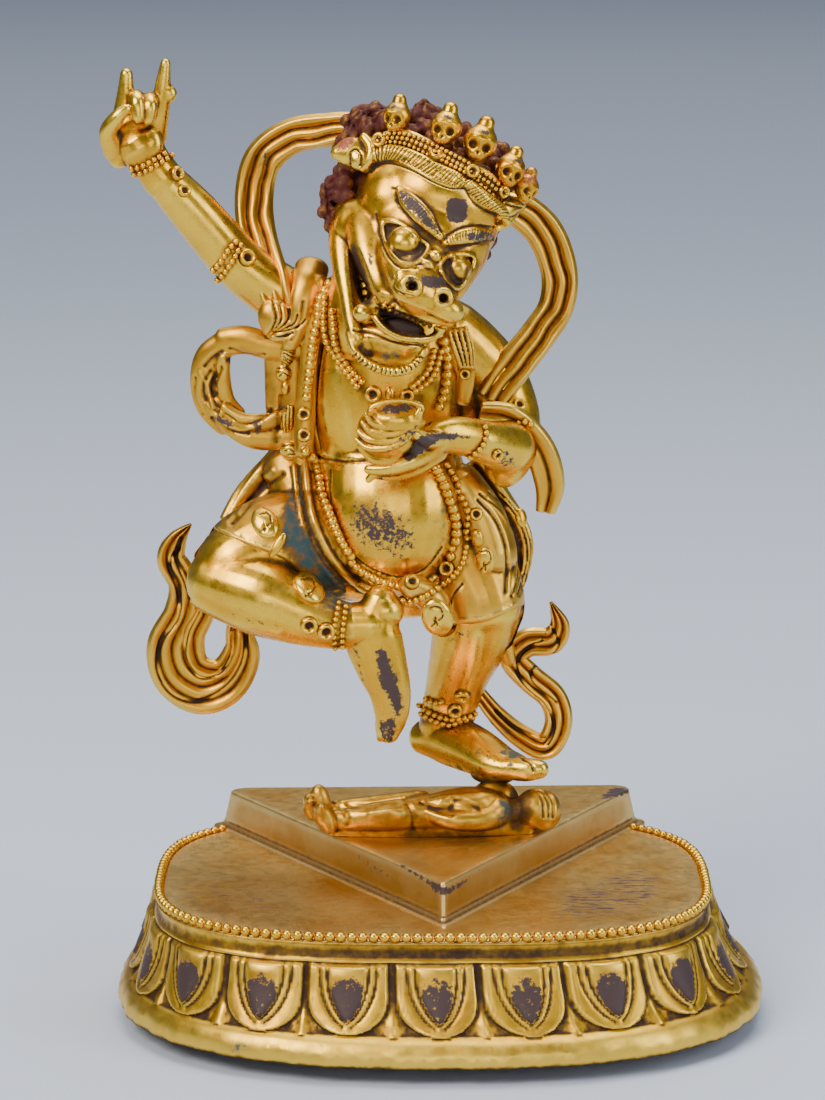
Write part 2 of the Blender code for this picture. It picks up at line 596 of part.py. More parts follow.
def inset_ring(rim, inset, level):
    middle = sum(rim, Vector()) / len(rim)
    ring = []
    for point in rim:
        inward = (middle - point).normalized()
        ring.append(Vector((point.x + inward.x * inset, point.y + inward.y * inset, level)))
    return ring


def build_plinth(material):
    """A battered triangular block with its point to the front, sunk into the deck so that the two join."""
    sunk = BEAD_DIAMETER
    bm = bmesh.new()
    rings = []
    for level, grow in ((DECK_LEVEL - sunk, 1.0 + sunk / PLINTH_HEIGHT), (PLINTH_TOP, 0.0)):
        side = PLINTH_SIDE + 2 * math.sqrt(3) * PLINTH_BATTER * grow
        rings.append(triangle_plan(side, level))
    loft(bm, rings)
    plinth = finish_object(bm, "plinth block", material)
    plinth.hide_render = True
    plinth.display_type = "WIRE"
    return plinth


def triangle_plan(side, level):
    """An equilateral triangle about the plinth's centre, point to the front, with rounded back corners."""
    reach = side / math.sqrt(3)
    points = [Vector((0.0, -reach, 0.0))]
    for corner in (30, 150):
        angle = math.radians(corner)
        centre = Vector((math.cos(angle), math.sin(angle), 0.0)) * (reach - 2 * PLINTH_CORNER)
        for k in range(5):
            turn = math.radians(corner - 60 + 120 * k / 4)
            points.append(centre + Vector((math.cos(turn), math.sin(turn), 0.0)) * PLINTH_CORNER)
    place = Matrix.Translation((PLINTH_OFFSET, PLINTH_CENTRE_Y, level)) @ Matrix.Rotation(PLINTH_TURN, 4, "Z")
    return [place @ point for point in points]


def build():
    clear_scene()
    burnished = gilt("fire-gilt bronze, burnished", (0.80, 0.50, 0.14), 0.24)
    brushed = gilt("fire-gilt bronze, worn", (0.66, 0.40, 0.13), 0.36)
    build_lotus_base(brushed)
    build_trampled_body(brushed)
    build_figure(burnished)


build()
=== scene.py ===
import math
import random

import bpy
import bmesh
import numpy as np
from mathutils import Matrix, Vector
from mathutils.bvhtree import BVHTree
from mathutils.kdtree import KDTree


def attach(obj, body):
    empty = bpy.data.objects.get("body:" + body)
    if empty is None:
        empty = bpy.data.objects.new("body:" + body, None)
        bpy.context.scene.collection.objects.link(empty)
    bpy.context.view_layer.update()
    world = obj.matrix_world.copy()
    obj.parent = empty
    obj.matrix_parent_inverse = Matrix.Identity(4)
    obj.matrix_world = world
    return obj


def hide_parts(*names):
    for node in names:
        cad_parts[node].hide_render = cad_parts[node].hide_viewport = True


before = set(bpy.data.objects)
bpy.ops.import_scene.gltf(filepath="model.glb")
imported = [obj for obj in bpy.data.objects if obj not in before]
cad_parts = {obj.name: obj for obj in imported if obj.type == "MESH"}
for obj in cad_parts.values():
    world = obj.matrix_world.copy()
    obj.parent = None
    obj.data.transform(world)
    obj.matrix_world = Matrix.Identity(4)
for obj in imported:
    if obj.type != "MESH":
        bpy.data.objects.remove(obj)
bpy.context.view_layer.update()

mm = 0.001
chance = random.Random(7)


# The camera comes first, because ornaments are laid on by where they are seen
view = {
    "target": Vector((-4.95, -6.0, 80.1)) * mm,
    "distance": 700 * mm,
    "lift": 10.987,  # degrees above the floor
    "pixelsPerRadian": 4060,  # on a picture 825 wide and 1100 high
    "width": 825,
    "height": 1100,
    "sensor": 36,  # mm
}
viewTilt = math.radians(view["lift"])
viewAhead = Vector((0, math.cos(viewTilt), -math.sin(viewTilt)))
viewUp = Vector((0, math.sin(viewTilt), math.cos(viewTilt)))
eye = view["target"] - viewAhead * view["distance"]

bpy.ops.object.camera_add(location=eye, rotation=(math.pi / 2 - viewTilt, 0, 0))
camera = bpy.context.object
camera.data.sensor_width = view["sensor"]
camera.data.lens = view["pixelsPerRadian"] / view["height"] * view["sensor"]
bpy.context.scene.camera = camera


def onPicture(points):
    # where points in space are seen, in pixels
    away = points - np.array(eye)
    depth = away @ np.array(viewAhead)
    across = view["width"] / 2 + view["pixelsPerRadian"] * away[:, 0] / depth
    down = view["height"] / 2 - view["pixelsPerRadian"] * (away @ np.array(viewUp)) / depth
    return np.stack([across, down], 1)


def sightLine(px, py):
    aside = Vector((1, 0, 0)) * ((px - view["width"] / 2) / view["pixelsPerRadian"])
    above = viewUp * ((view["height"] / 2 - py) / view["pixelsPerRadian"])
    return (viewAhead + aside + above).normalized()


# Small tools for working on pieces
def pickOnly(*pieces):
    bpy.ops.object.select_all(action="DESELECT")
    for piece in pieces:
        piece.select_set(True)
    bpy.context.view_layer.objects.active = pieces[0]


def joined(name, pieces):
    pickOnly(*pieces)
    if len(pieces) > 1:
        bpy.ops.object.join()
    piece = bpy.context.object
    piece.name = piece.data.name = name
    return piece


def finishedBy(piece, kind, **settings):
    # one modifier, set up and applied
    pickOnly(piece)
    bpy.ops.object.modifier_add(type=kind)
    modifier = piece.modifiers[-1]
    for setting, value in settings.items():
        setattr(modifier, setting, value)
    bpy.ops.object.modifier_apply(modifier=modifier.name)
    return piece


def fused(name, lumps, grain, rounds):
    # melts lumps of clay into one skin, of a grain in mm, and smooths it so many rounds
    piece = joined(name, lumps)
    finishedBy(piece, "REMESH", mode="VOXEL", voxel_size=grain * mm, adaptivity=0)
    finishedBy(piece, "SMOOTH", factor=0.5, iterations=rounds)
    piece.data.shade_smooth()
    print(name, len(piece.data.polygons), "faces")
    return piece


def throughPoints(values, perSpan):
    # an eased curve through rows of numbers
    v = np.array(values, float)
    last = len(v) - 1
    t = np.linspace(0, last, last * perSpan + 1)
    i = np.minimum(t.astype(int), last - 1)
    f = (t - i)[:, None]
    p0, p1, p2, p3 = v[np.maximum(i - 1, 0)], v[i], v[i + 1], v[np.minimum(i + 2, last)]
    return 0.5 * (2 * p1 + (p2 - p0) * f + (2 * p0 - 5 * p1 + 4 * p2 - p3) * f ** 2
                  + (3 * p1 - p0 - 3 * p2 + p3) * f ** 3)


def unitRows(rows):
    return rows / np.maximum(np.linalg.norm(rows, axis=1), 1e-12)[:, None]


def newPiece(name, points, faces):
    mesh = bpy.data.meshes.new(name)
    mesh.from_pydata(np.asarray(points).tolist(), [], faces)
    mesh.shade_smooth()
    piece = bpy.data.objects.new(name, mesh)
    bpy.context.scene.collection.objects.link(piece)
    return piece


def faceOut(piece):
    bm = bmesh.new()
    bm.from_mesh(piece.data)
    bmesh.ops.recalc_face_normals(bm, faces=bm.faces)
    bm.to_mesh(piece.data)
    bm.free()
    return piece


def skinOver(name, rings):
    # a skin over closed rings, with a fan over each end
    count, sides = rings.shape[:2]
    i, j = np.meshgrid(np.arange(count - 1) * sides, np.arange(sides), indexing="ij")
    n = (j + 1) % sides
    faces = np.stack([i + j, i + n, i + sides + n, i + sides + j], -1).reshape(-1, 4).tolist()
    points = np.vstack([rings.reshape(-1, 3), rings[0].mean(0), rings[-1].mean(0)])
    end = (count - 1) * sides
    for k in range(sides):
        faces.append((k, count * sides, (k + 1) % sides))
        faces.append((end + k, end + (k + 1) % sides, count * sides + 1))
    return faceOut(newPiece(name, points, faces))


# Clay: lumps and limbs, in a space of their own units
toViewer = (0, -1, 0)


def ball(space, centre, radii, lean=0.0, segments=26):
    bpy.ops.object.select_all(action="DESELECT")
    bpy.ops.mesh.primitive_uv_sphere_add(segments=segments, ring_count=segments * 2 // 3, radius=1)
    piece = bpy.context.object
    radii = radii if isinstance(radii, tuple) else (radii, radii, radii)
    lean = Matrix.Rotation(math.radians(lean), 4, "Y")
    piece.data.transform(space @ Matrix.Translation(centre) @ lean @ Matrix.Diagonal((*radii, 1)))
    return piece


def limb(space, points, sizes, facing=toViewer, sides=24, perSpan=8, endTurns=(75, 50, 25)):
    # a rounded limb through points; a size is one radius, or (across, towards the viewer)
    spine = throughPoints(points, perSpan)
    size = throughPoints([s if isinstance(s, tuple) else (s, s) for s in sizes], perSpan)
    along = unitRows(np.gradient(spine, axis=0))
    across = unitRows(np.cross(along, facing))
    front = unitRows(np.cross(across, along))
    turn = np.linspace(0, 2 * math.pi, sides, endpoint=False)[None, :, None]
    rings = (spine[:, None] + across[:, None] * size[:, :1, None] * np.cos(turn)
             + front[:, None] * size[:, 1:, None] * np.sin(turn))
    starts, ends = [], []
    for degrees in endTurns:
        c, s = math.cos(math.radians(degrees)), math.sin(math.radians(degrees))
        starts.append(spine[0] + (rings[0] - spine[0]) * c - along[0] * size[0].min() * s)
        ends.insert(0, spine[-1] + (rings[-1] - spine[-1]) * c + along[-1] * size[-1].min() * s)
    rings = np.concatenate([np.array(starts).reshape(-1, sides, 3), rings,
                            np.array(ends).reshape(-1, sides, 3)])
    piece = skinOver("limb", rings)
    piece.data.transform(space)
    return piece


def band(space, points, widths, thickness, ridges, fineness, perSpan=10, drift=0.0, curl=0.0):
    # a cast scarf: lengthwise folds on its face, its edges a little rolled
    spine = throughPoints(points, perSpan)
    wide = throughPoints([(w,) for w in widths], perSpan)[:, 0]
    along = unitRows(np.gradient(spine, axis=0))
    across = unitRows(np.cross(along, toViewer))
    front = unitRows(np.cross(across, along))
    share = np.linspace(0, 1, fineness * ridges + 1)
    rings = []
    for k, centre in enumerate(spine):
        sway = drift * math.sin(k * 0.19) + 0.5 * drift * math.sin(k * 0.43 + 1)
        folds = np.abs(np.sin(math.pi * (ridges * share ** (1 + 0.35 * sway) + 0.08 * sway)))
        hem = np.minimum(1, np.minimum(share, 1 - share) * 12)
        face = thickness * (0.25 + 0.75 * folds ** 0.7) * (0.35 + 0.65 * hem) + curl * (2 * share - 1) ** 2
        sideways = wide[k] * (share - 0.5)
        back = -thickness * 0.45 * np.sqrt(hem) + 0.5 * curl * (2 * share - 1) ** 2
        top = centre + across[k] * sideways[:, None] + front[k] * face[:, None]
        under = centre + across[k] * sideways[:, None] + front[k] * back[:, None]
        rings.append(np.vstack([top, under[::-1]]))
    piece = skinOver("band", np.array(rings))
    piece.data.transform(space)
    return piece


# Modelling tools that work on what is seen from the front
def shapeOf(piece):
    count = len(piece.data.vertices)
    points, normals = np.empty(count * 3), np.empty(count * 3)
    piece.data.vertices.foreach_get("co", points)
    piece.data.vertex_normals.foreach_get("vector", normals)
    return points.reshape(-1, 3), normals.reshape(-1, 3)


def reshape(piece, points):
    piece.data.vertices.foreach_set("co", points.ravel())
    piece.data.update()


def eased(share):
    return share * share * (3 - 2 * share)


def turnedToViewer(normals):
    # 1 where the skin faces the viewer, falling to 0 where it turns away
    return np.clip(-(normals @ np.array(viewAhead)) * 6, 0, 1)


def closeness(flat, line, reach):
    # 1 on a drawn line, falling to 0 at its reach
    near = np.zeros(len(flat))
    inside = np.nonzero(((flat > line.min(0) - reach) & (flat < line.max(0) + reach)).all(1))[0]
    if len(inside) == 0:
        return near
    spots = flat[inside]
    best = np.full(len(inside), float(reach) ** 2)
    for a, b in zip(line, line[1:]):
        step = b - a
        t = np.clip(((spots - a) @ step) / max(step @ step, 1e-9), 0, 1)
        best = np.minimum(best, ((spots - a - t[:, None] * step) ** 2).sum(1))
    near[inside] = 1 - np.sqrt(best) / reach
    return near


def within(flat, outline, edge):
    # 1 inside an outline, 0 outside, eased over its edge
    loop = throughPoints(list(outline) + [outline[0]], 5)
    inside = np.zeros(len(flat), bool)
    for a, b in zip(loop, loop[1:]):
        crosses = (a[1] > flat[:, 1]) != (b[1] > flat[:, 1])
        rise = b[1] - a[1] if b[1] != a[1] else 1e-9
        inside ^= crosses & (flat[:, 0] < a[0] + (flat[:, 1] - a[1]) * (b[0] - a[0]) / rise)
    gap = edge * (1 - closeness(flat, loop, edge))
    return eased(np.clip(0.5 + np.where(inside, gap, -gap) / edge / 2, 0, 1))


def drawn(piece, lines=(), areas=(), sunk=()):
    # lines: (points, half width in pixels, height in mm); areas: (outline, edge in pixels, height in mm),
    # both moved out or in along the skin; sunk areas go straight back from the viewer
    points, normals = shapeOf(piece)
    flat = onPicture(points)
    facing = turnedToViewer(normals)
    height = np.zeros(len(points))
    for line, reach, rise in lines:
        height += rise * mm * eased(closeness(flat, throughPoints(line, 5), reach))
    for outline, edge, rise in areas:
        height += rise * mm * within(flat, outline, edge)
    back = np.zeros(len(points))
    for outline, edge, depth in sunk:
        back += depth * mm * within(flat, outline, edge)
    points = points + normals * (height * facing)[:, None] + np.array(viewAhead) * (back * facing)[:, None]
    reshape(piece, points)


def hatched(path, length, pitch, lean, reach, rise):
    # short cuts across a path, as engraved hair; lean is in degrees off square
    line = throughPoints(path, 12)
    walked = np.concatenate([[0], np.cumsum(np.linalg.norm(np.diff(line, axis=0), axis=1))])
    cuts = []
    for distance in np.arange(pitch / 2, walked[-1], pitch):
        k = min(int(np.searchsorted(walked, distance)), len(line) - 1)
        along = unitRows((line[k] - line[k - 1])[None])[0]
        turn = math.radians(90 + lean)
        way = np.array([along[0] * math.cos(turn) - along[1] * math.sin(turn),
                        along[0] * math.sin(turn) + along[1] * math.cos(turn)])
        cuts.append(([line[k] - way * length / 2, line[k] + way * length / 2], reach, rise))
    return cuts


# Wear, dirt, painted shade and painted highlights are kept as values on the points of each piece
def paint(piece, name, values):
    layer = piece.data.attributes.get(name) or piece.data.attributes.new(name, "FLOAT", "POINT")
    old = np.zeros(len(piece.data.vertices), np.float32)
    layer.data.foreach_get("value", old)
    layer.data.foreach_set("value", np.clip(np.maximum(old, values), 0, 1).astype(np.float32))


def paintAreas(piece, name, areas):
    # areas: (outline, soft edge in pixels, strength), on the front of the piece
    points, normals = shapeOf(piece)
    flat = onPicture(points)
    facing = turnedToViewer(normals)
    for outline, edge, strength in areas:
        paint(piece, name, strength * facing * within(flat, outline, edge))


def soiledAndShaded(piece, fine=(6, 0.075), broad=(36, 0.22)):
    # dirt and painted shade darken the skin where it is hollow, and raised edges are rubbed bright and given
    # a painted highlight
    # fine and broad: rounds of smoothing, and the depth in mm that counts as full
    points, normals = shapeOf(piece)
    edges = np.empty(len(piece.data.edges) * 2, int)
    piece.data.edges.foreach_get("vertices", edges)
    a, b = edges.reshape(-1, 2).T
    count = len(points)
    friends = np.maximum(np.bincount(a, minlength=count) + np.bincount(b, minlength=count), 1)
    smooth = points.copy()
    dirtAndShade, rubbedAndHighlit = np.zeros(count), np.zeros(count)
    done = 0
    for rounds, scale in (fine, broad):
        while done < rounds:
            total = np.stack([np.bincount(a, smooth[b, k], count) + np.bincount(b, smooth[a, k], count)
                              for k in range(3)], 1)
            smooth = 0.4 * smooth + 0.6 * total / friends[:, None]
            done += 1
        hollow = ((smooth - points) * normals).sum(1) / (scale * mm)
        dirtAndShade = np.maximum(dirtAndShade, np.clip(hollow, 0, 1))
        rubbedAndHighlit = np.maximum(rubbedAndHighlit, np.clip(-hollow, 0, 1))
    paint(piece, "dirtAndShade", dirtAndShade)
    paint(piece, "rubbedAndHighlit", rubbedAndHighlit)


def shadedAndSoiledBy(piece, places, reach, strength):
    # dirt and painted shade in the angle where small ornaments stand on a piece
    tree = KDTree(len(places))
    for k, place in enumerate(places):
        tree.insert(place, k)
    tree.balance()
    points, _ = shapeOf(piece)
    low = np.array(places).min(0) - reach * mm
    high = np.array(places).max(0) + reach * mm
    values = np.zeros(len(points))
    for k in np.nonzero(((points > low) & (points < high)).all(1))[0]:
        values[k] = strength * max(0.0, 1 - tree.find(points[k])[2] / (reach * mm))
    paint(piece, "dirtAndShade", values ** 0.8)


def triangleCount(piece):
    return sum(len(face.vertices) - 2 for face in piece.data.polygons)


# Fine skins are thinned where they are flat, so the whole stays under a million triangles
thinning = {"over": 40000, "towards": 36000}


def keep(piece, name, material, stands=()):
    count = triangleCount(piece)
    if count > thinning["over"]:
        finishedBy(piece, "DECIMATE", ratio=(thinning["towards"] / count) ** 0.5)
        print(name, "thinned from", count, "to", triangleCount(piece), "triangles")
    piece.name = piece.data.name = name
    piece.data.materials.clear()
    piece.data.materials.append(material)
    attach(piece, "root")
    if stands:
        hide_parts(*stands)
    return piece


# Materials
def linear(hexColour):
    parts = [int(hexColour[k:k + 2], 16) / 255 for k in (1, 3, 5)]
    return (*[p / 12.92 if p <= 0.04045 else ((p + 0.055) / 1.055) ** 2.4 for p in parts], 1)


def add(tree, kind, inputs=None, **settings):
    # one node, with its settings and its inputs, which are values or links
    node = tree.nodes.new("ShaderNode" + kind)
    for setting, value in settings.items():
        setattr(node, setting, value)
    for key, value in (inputs or {}).items():
        if isinstance(value, bpy.types.NodeSocket):
            tree.links.new(value, node.inputs[key])
        else:
            node.inputs[key].default_value = value
    return node


gildedLook = {  # what the finishes share, unless one says otherwise
    # the darkest colour is for dirt and painted shade in the deepest hollows
    "dirtAndShade": "#38220E", "bare": "#443330", "verdigris": "#2A4548", "redPaint": "#8C2F22",
    "ripple": 0.6, "grit": 0.35, "brush": 0.0, "streak": (1, 1, 1),
}


def gilding(name, look):
    # Fire-gilt copper alloy: warm gold, darker where the gilding thins, brown dirt and painted shade in the
    # hollows, painted highlights on raised edges
    look = {**gildedLook, **look}
    material = bpy.data.materials.new(name)
    material.use_nodes = True
    tree = material.node_tree
    shader = tree.nodes["Principled BSDF"]
    where = add(tree, "TexCoord").outputs["Object"]
    blotches = {}  # noise by the width of its blotches, in mm
    streaked = add(tree, "Mapping", {"Vector": where, "Scale": look["streak"]}).outputs[0]
    for size, detail, roughness, vector in ((9, 3, 0.55, where), (1.6, 4, 0.55, where),
            (0.9, 5, 0.7, streaked), (0.35, 2, 0.55, where)):
        blotches[size] = add(tree, "TexNoise", {"Vector": vector, "Scale": 1000 / size, "Detail": detail,
            "Roughness": roughness}).outputs["Fac"]
    thin = add(tree, "MapRange", {"Value": blotches[9], "From Min": 0.35, "From Max": 0.65}).outputs[0]
    colour = add(tree, "Mix", {0: thin, 6: linear(look["gold"]), 7: linear(look["thinGold"])},
                 data_type="RGBA").outputs[2]
    uneven = add(tree, "MapRange", {"Value": blotches[1.6], "From Min": 0.3, "From Max": 0.7, "To Min": -0.05,
        "To Max": 0.07}).outputs[0]
    rough = add(tree, "Math", {0: uneven, 1: look["roughness"]}, operation="ADD").outputs[0]
    metal = 1.0
    # mark on the skin, blotches in mm, raggedness, from, to, strength, colour, metal hidden, roughness added
    layers = (
        # the first three layers: a painted highlight on rubbed raised edges, then dirt and painted shade in
        # the hollows
        ("rubbedAndHighlit", 1.6, 0.0, 0.25, 1.0, 0.70, "brightGold", 0.0, -0.03),
        ("dirtAndShade", 1.6, 0.20, 0.14, 0.62, 0.85, "shadedOldGold", 0.0, 0.10),
        ("dirtAndShade", 1.6, 0.20, 0.44, 0.95, 1.0, "dirtAndShade", 0.60, 0.20),
        ("worn", 0.9, look["ragged"], 0.44, 0.58, 1.0, "bare", 0.75, 0.16),
        ("verdigris", 1.6, 0.42, 0.42, 0.90, 0.92, "verdigris", 0.85, 0.30),
        ("redPaint", 0.9, 0.32, 0.42, 0.72, 0.95, "redPaint", 0.85, 0.25),
    )
    for mark, size, ragged, low, high, strength, tone, hidden, dulled in layers:
        given = add(tree, "Attribute", attribute_name=mark).outputs["Fac"]
        spread = add(tree, "MapRange", {"Value": blotches[size], "From Min": 0.3, "From Max": 0.7,
            "To Min": -ragged, "To Max": ragged}).outputs[0]
        total = add(tree, "Math", {0: given, 1: spread}, operation="ADD").outputs[0]
        share = add(tree, "MapRange", {"Value": total, "From Min": low, "From Max": high,
            "To Max": strength}).outputs[0]
        colour = add(tree, "Mix", {0: share, 6: colour, 7: linear(look[tone])}, data_type="RGBA").outputs[2]
        metal = add(tree, "Math", {0: share, 1: -hidden, 2: metal}, operation="MULTIPLY_ADD",
                    use_clamp=True).outputs[0]
        rough = add(tree, "Math", {0: share, 1: dulled, 2: rough}, operation="MULTIPLY_ADD",
                    use_clamp=True).outputs[0]
    tree.links.new(colour, shader.inputs["Base Color"])
    tree.links.new(metal, shader.inputs["Metallic"])
    tree.links.new(rough, shader.inputs["Roughness"])
    marks = add(tree, "Mapping", {"Vector": where, "Scale": (1.0, 7.0, 1.0)}).outputs[0]
    marks = add(tree, "TexNoise", {"Vector": marks, "Scale": 1000 / 1.4, "Detail": 4}).outputs["Fac"]
    height = add(tree, "Math", {0: blotches[1.6], 1: look["ripple"]}, operation="MULTIPLY").outputs[0]
    height = add(tree, "Math", {0: blotches[0.35], 1: look["grit"], 2: height},
                 operation="MULTIPLY_ADD").outputs[0]
    height = add(tree, "Math", {0: marks, 1: look["brush"], 2: height}, operation="MULTIPLY_ADD").outputs[0]
    dent = add(tree, "Bump", {"Height": height, "Strength": 0.35, "Distance": 0.12 * mm})
    tree.links.new(dent.outputs[0], shader.inputs["Normal"])
    return material


burnished = gilding("fire-gilt bronze, burnished", {  # smooth warm skin with soft bright highlights
    "gold": "#EFB828", "thinGold": "#DCA026", "brightGold": "#FFDA50", "shadedOldGold": "#8A5C18",
    "roughness": 0.29, "ragged": 0.36, "ripple": 0.55, "grit": 0.25,
})
brushed = gilding("fire-gilt bronze, brushed", {  # flats rubbed dull, a little browner, with fine marks
    "gold": "#DAB262", "thinGold": "#CE9C46", "brightGold": "#F0CE80", "shadedOldGold": "#A87E44",
    "roughness": 0.42, "ragged": 0.25, "brush": 0.6, "streak": (0.22, 1, 1),
    "dirtAndShade": "#5A422C", "bare": "#4A3836", "verdigris": "#7C9080",
})
satin = gilding("fire-gilt bronze, satin", {  # the petals: a dense yellow, less bright than the figure
    "gold": "#DDAE2C", "thinGold": "#C8942A", "brightGold": "#F6CE50", "shadedOldGold": "#7E5C1C",
    "roughness": 0.40, "ragged": 0.32, "dirtAndShade": "#3A2410", "bare": "#42302E",
})
cloth = gilding("fire-gilt bronze, softly rubbed", {  # between the bright skin and the dull flats
    "gold": "#E2A82C", "thinGold": "#CC922A", "brightGold": "#F8CE54", "shadedOldGold": "#84581A",
    "roughness": 0.36, "ragged": 0.34, "ripple": 0.7, "grit": 0.3,
})
hairRed = gilding("fire-gilt bronze with red hair colour", {  # matt red-brown colour worn through to gold
    "gold": "#643618", "thinGold": "#4C2016", "brightGold": "#B07C30", "shadedOldGold": "#32160E",
    "roughness": 0.5, "ragged": 0.3, "ripple": 0.7, "grit": 0.5,
    "dirtAndShade": "#1C0E0C", "bare": "#43333A", "verdigris": "#6F8A78", "redPaint": "#4E1614",
})


# The lotus base
base = {
    "width": 114.0, "depth": 95.0, "power": 2.4,
    "rimWidth": 98.0, "rimDepth": 80.6, "rimPower": 3.0, "rimOffset": (-1.4, 1.5),
    "foot": 4.6, "petalBand": 11.4, "neck": 3.2, "bead": 1.8, "beadPitch": 1.87,
    "petals": 21, "columnsPerPetal": 40,
}
petalTop = base["foot"] + base["petalBand"]
neckTop = petalTop + base["neck"]
deckLevel = neckTop + base["bead"] / 2


def ovalPoints(width, depth, power, shares):
    # points at shares of the way round, from the back
    angle = np.linspace(0, 2 * math.pi, 4001) + math.pi / 2
    c, s = np.cos(angle), np.sin(angle)
    x = width / 2 * np.sign(c) * np.abs(c) ** (2 / power)
    y = depth / 2 * np.sign(s) * np.abs(s) ** (2 / power)
    walked = np.concatenate([[0], np.cumsum(np.hypot(np.diff(x), np.diff(y)))])
    wanted = np.asarray(shares) * walked[-1]
    return np.stack([np.interp(wanted, walked, x), np.interp(wanted, walked, y)], 1)


def rimPoints(shares):
    return ovalPoints(base["rimWidth"], base["rimDepth"], base["rimPower"],
                      shares) + np.array(base["rimOffset"])


def petalRelief(across, down):
    # across is -1 to 1 over one petal, down is 0 at the neck and 1 at the foot
    # gives the relief in mm and the share that is worn
    side = np.abs(across)
    lobe = 0.95 * np.sqrt(np.clip(1 - (np.clip(down - 0.40, 0, 1) / 0.575) ** 2.8, 0, 1))
    inLobe = np.clip((lobe - side) * 11, 0, 1)
    line = np.exp(-((lobe - side - 0.13) / 0.030) ** 2)
    oval = 0.56 * np.clip(1 - (np.clip(down - 0.06, 0, 1) / 0.80) ** 2.3, 0, 1) ** 0.75
    inOval = np.clip((oval - side - 0.07) * 14, 0, 1)
    ridge = np.exp(-((oval - side) / 0.048) ** 2) * np.clip((0.90 - down) * 12, 0, 1)
    trench = np.exp(-((oval - side + 0.11) / 0.045) ** 2) * np.clip((0.94 - down) * 12, 0, 1)
    dome = (np.sqrt(np.clip(1 - (side / np.maximum(oval - 0.04, 0.05)) ** 2, 0, 1))
            * np.clip((oval - 0.05) * 5, 0, 1))
    tip = np.clip(1 - np.abs(1 - side) / 0.24 - np.clip(0.95 - down, 0, 1) * 2.4, 0, 1)
    relief = (1.05 * eased(inLobe) - 0.16 * line * inLobe + 0.32 * ridge - 0.22 * trench * inLobe
              + 0.95 * dome * inOval)
    relief += 0.75 * eased(tip) * (1 - inLobe)
    patch = np.clip(1.6 - 1.2 * ((side / 0.46) ** 2 + ((down - 0.50) / 0.35) ** 2), 0, 1) * inOval
    return relief, patch


def lotusBase():
    petals, per = base["petals"], base["columnsPerPetal"]
    count = petals * per
    shares = np.arange(count) / count
    across = 2 * ((np.arange(count) % per) / per) - 1
    foot = ovalPoints(base["width"], base["depth"], base["power"], shares)
    rim = rimPoints(shares)
    out = unitRows(foot - rim)
    levels = np.concatenate([np.linspace(0, base["foot"], 13), np.linspace(base["foot"], petalTop, 48)[1:],
                             np.linspace(petalTop, neckTop, 11)[1:]])
    profileLevels = [0, 0.5, 2.3, 3.9, 4.6, 6.2, 8.2, 11.4, 13.6, 15.5, 16, 16.6, 17.6, 18.8, 19.2]
    down = [(petalTop - z) / base["petalBand"] for z in profileLevels]
    profile = [0.03, 0.0, 0.02, 0.16, 0.30]
    profile += [0.98 - 0.62 * max(d, 0) ** 1.5 for d in down[5:10]] + [1.02, 1.10, 1.13, 1.08, 1.03]
    rings, worn = [], []
    petalTurn = np.array([chance.uniform(-1, 1) for _ in range(petals)])[np.arange(count) // per]
    for z in levels:
        inward = np.interp(z, profileLevels, profile)
        ring = foot * (1 - inward) + rim * inward
        d = (petalTop - z) / base["petalBand"]
        patch = np.zeros(count)
        if 0 < d < 1:
            relief, patch = petalRelief(across + 0.03 * petalTurn, np.full(count, d + 0.02 * petalTurn))
            relief = relief * min(1, d * 14)
            ring = ring + out * (relief - 0.75)[:, None]
        elif z <= base["foot"]:
            ripple = 0.16 * np.sin(shares * 2 * math.pi * 23 + 1) + 0.12 * np.sin(shares * 2 * math.pi * 57)
            ring = ring + out * (ripple * (1 - z / base["foot"]) - 0.2)[:, None]
        rings.append(np.column_stack([ring, np.full(count, z)]))
        worn.append(patch * (0.86 + 0.14 * petalTurn))
    middle = rim.mean(0)
    radial = unitRows(rim - middle)
    for inset, z in ((0.5, 19.25), (1.1, 19.5), (1.9, 19.95), (2.4, deckLevel)):
        rings.append(np.column_stack([rim - radial * inset, np.full(count, z)]))
        worn.append(np.zeros(count))
    edge = rim - radial * 2.4
    for share in np.linspace(1, 0.08, 16)[1:]:
        wave = 0.07 * np.sin(edge[:, 0] * share * 0.31 + 1) * np.cos(edge[:, 1] * share * 0.27)
        rings.append(np.column_stack([middle + (edge - middle) * share, deckLevel + wave]))
        worn.append(np.zeros(count))
    foot = skinOver("lotusFoot", np.array(rings[:len(levels) + 2]) * mm)
    paint(foot, "worn", np.concatenate(worn[:len(levels) + 2] + [[0, 0]]))
    return foot, skinOver("deck", np.array(rings[len(levels):]) * mm)


lotus, deck = lotusBase()
soiledAndShaded(lotus, fine=(4, 0.09), broad=(24, 0.42))
soiledAndShaded(deck, fine=(4, 0.06), broad=(24, 0.3))
points, _ = shapeOf(lotus)
# painted shadow: a thin dark line on the foot where it meets the floor
paint(lotus, "dirtAndShade", np.clip(1 - points[:, 2] / (0.7 * mm), 0, 1) * 0.9)  # dark line where it stands
paintAreas(lotus, "verdigris", [([(230, 1042), (244, 1041), (246, 1051), (232, 1053)], 3, 0.9)])
paintAreas(deck, "worn", [  # scratches and rubbed streaks
    ([(560, 880), (640, 862), (672, 880), (650, 915), (590, 930), (540, 925)], 22, 0.50),
    ([(190, 880), (260, 884), (300, 905), (290, 920), (210, 905)], 20, 0.46),
    ([(300, 912), (350, 915), (360, 926), (310, 925)], 10, 0.36),
])
# a faint darker patch over the left front of the deck
paintAreas(deck, "dirtAndShade", [([(150, 860), (230, 840), (420, 930), (330, 935), (190, 910)], 20, 0.16)])
keep(lotus, "lotus_foot", satin, ["lotus_base"])
keep(deck, "deck", brushed)
print("lotus base", len(lotus.data.polygons))


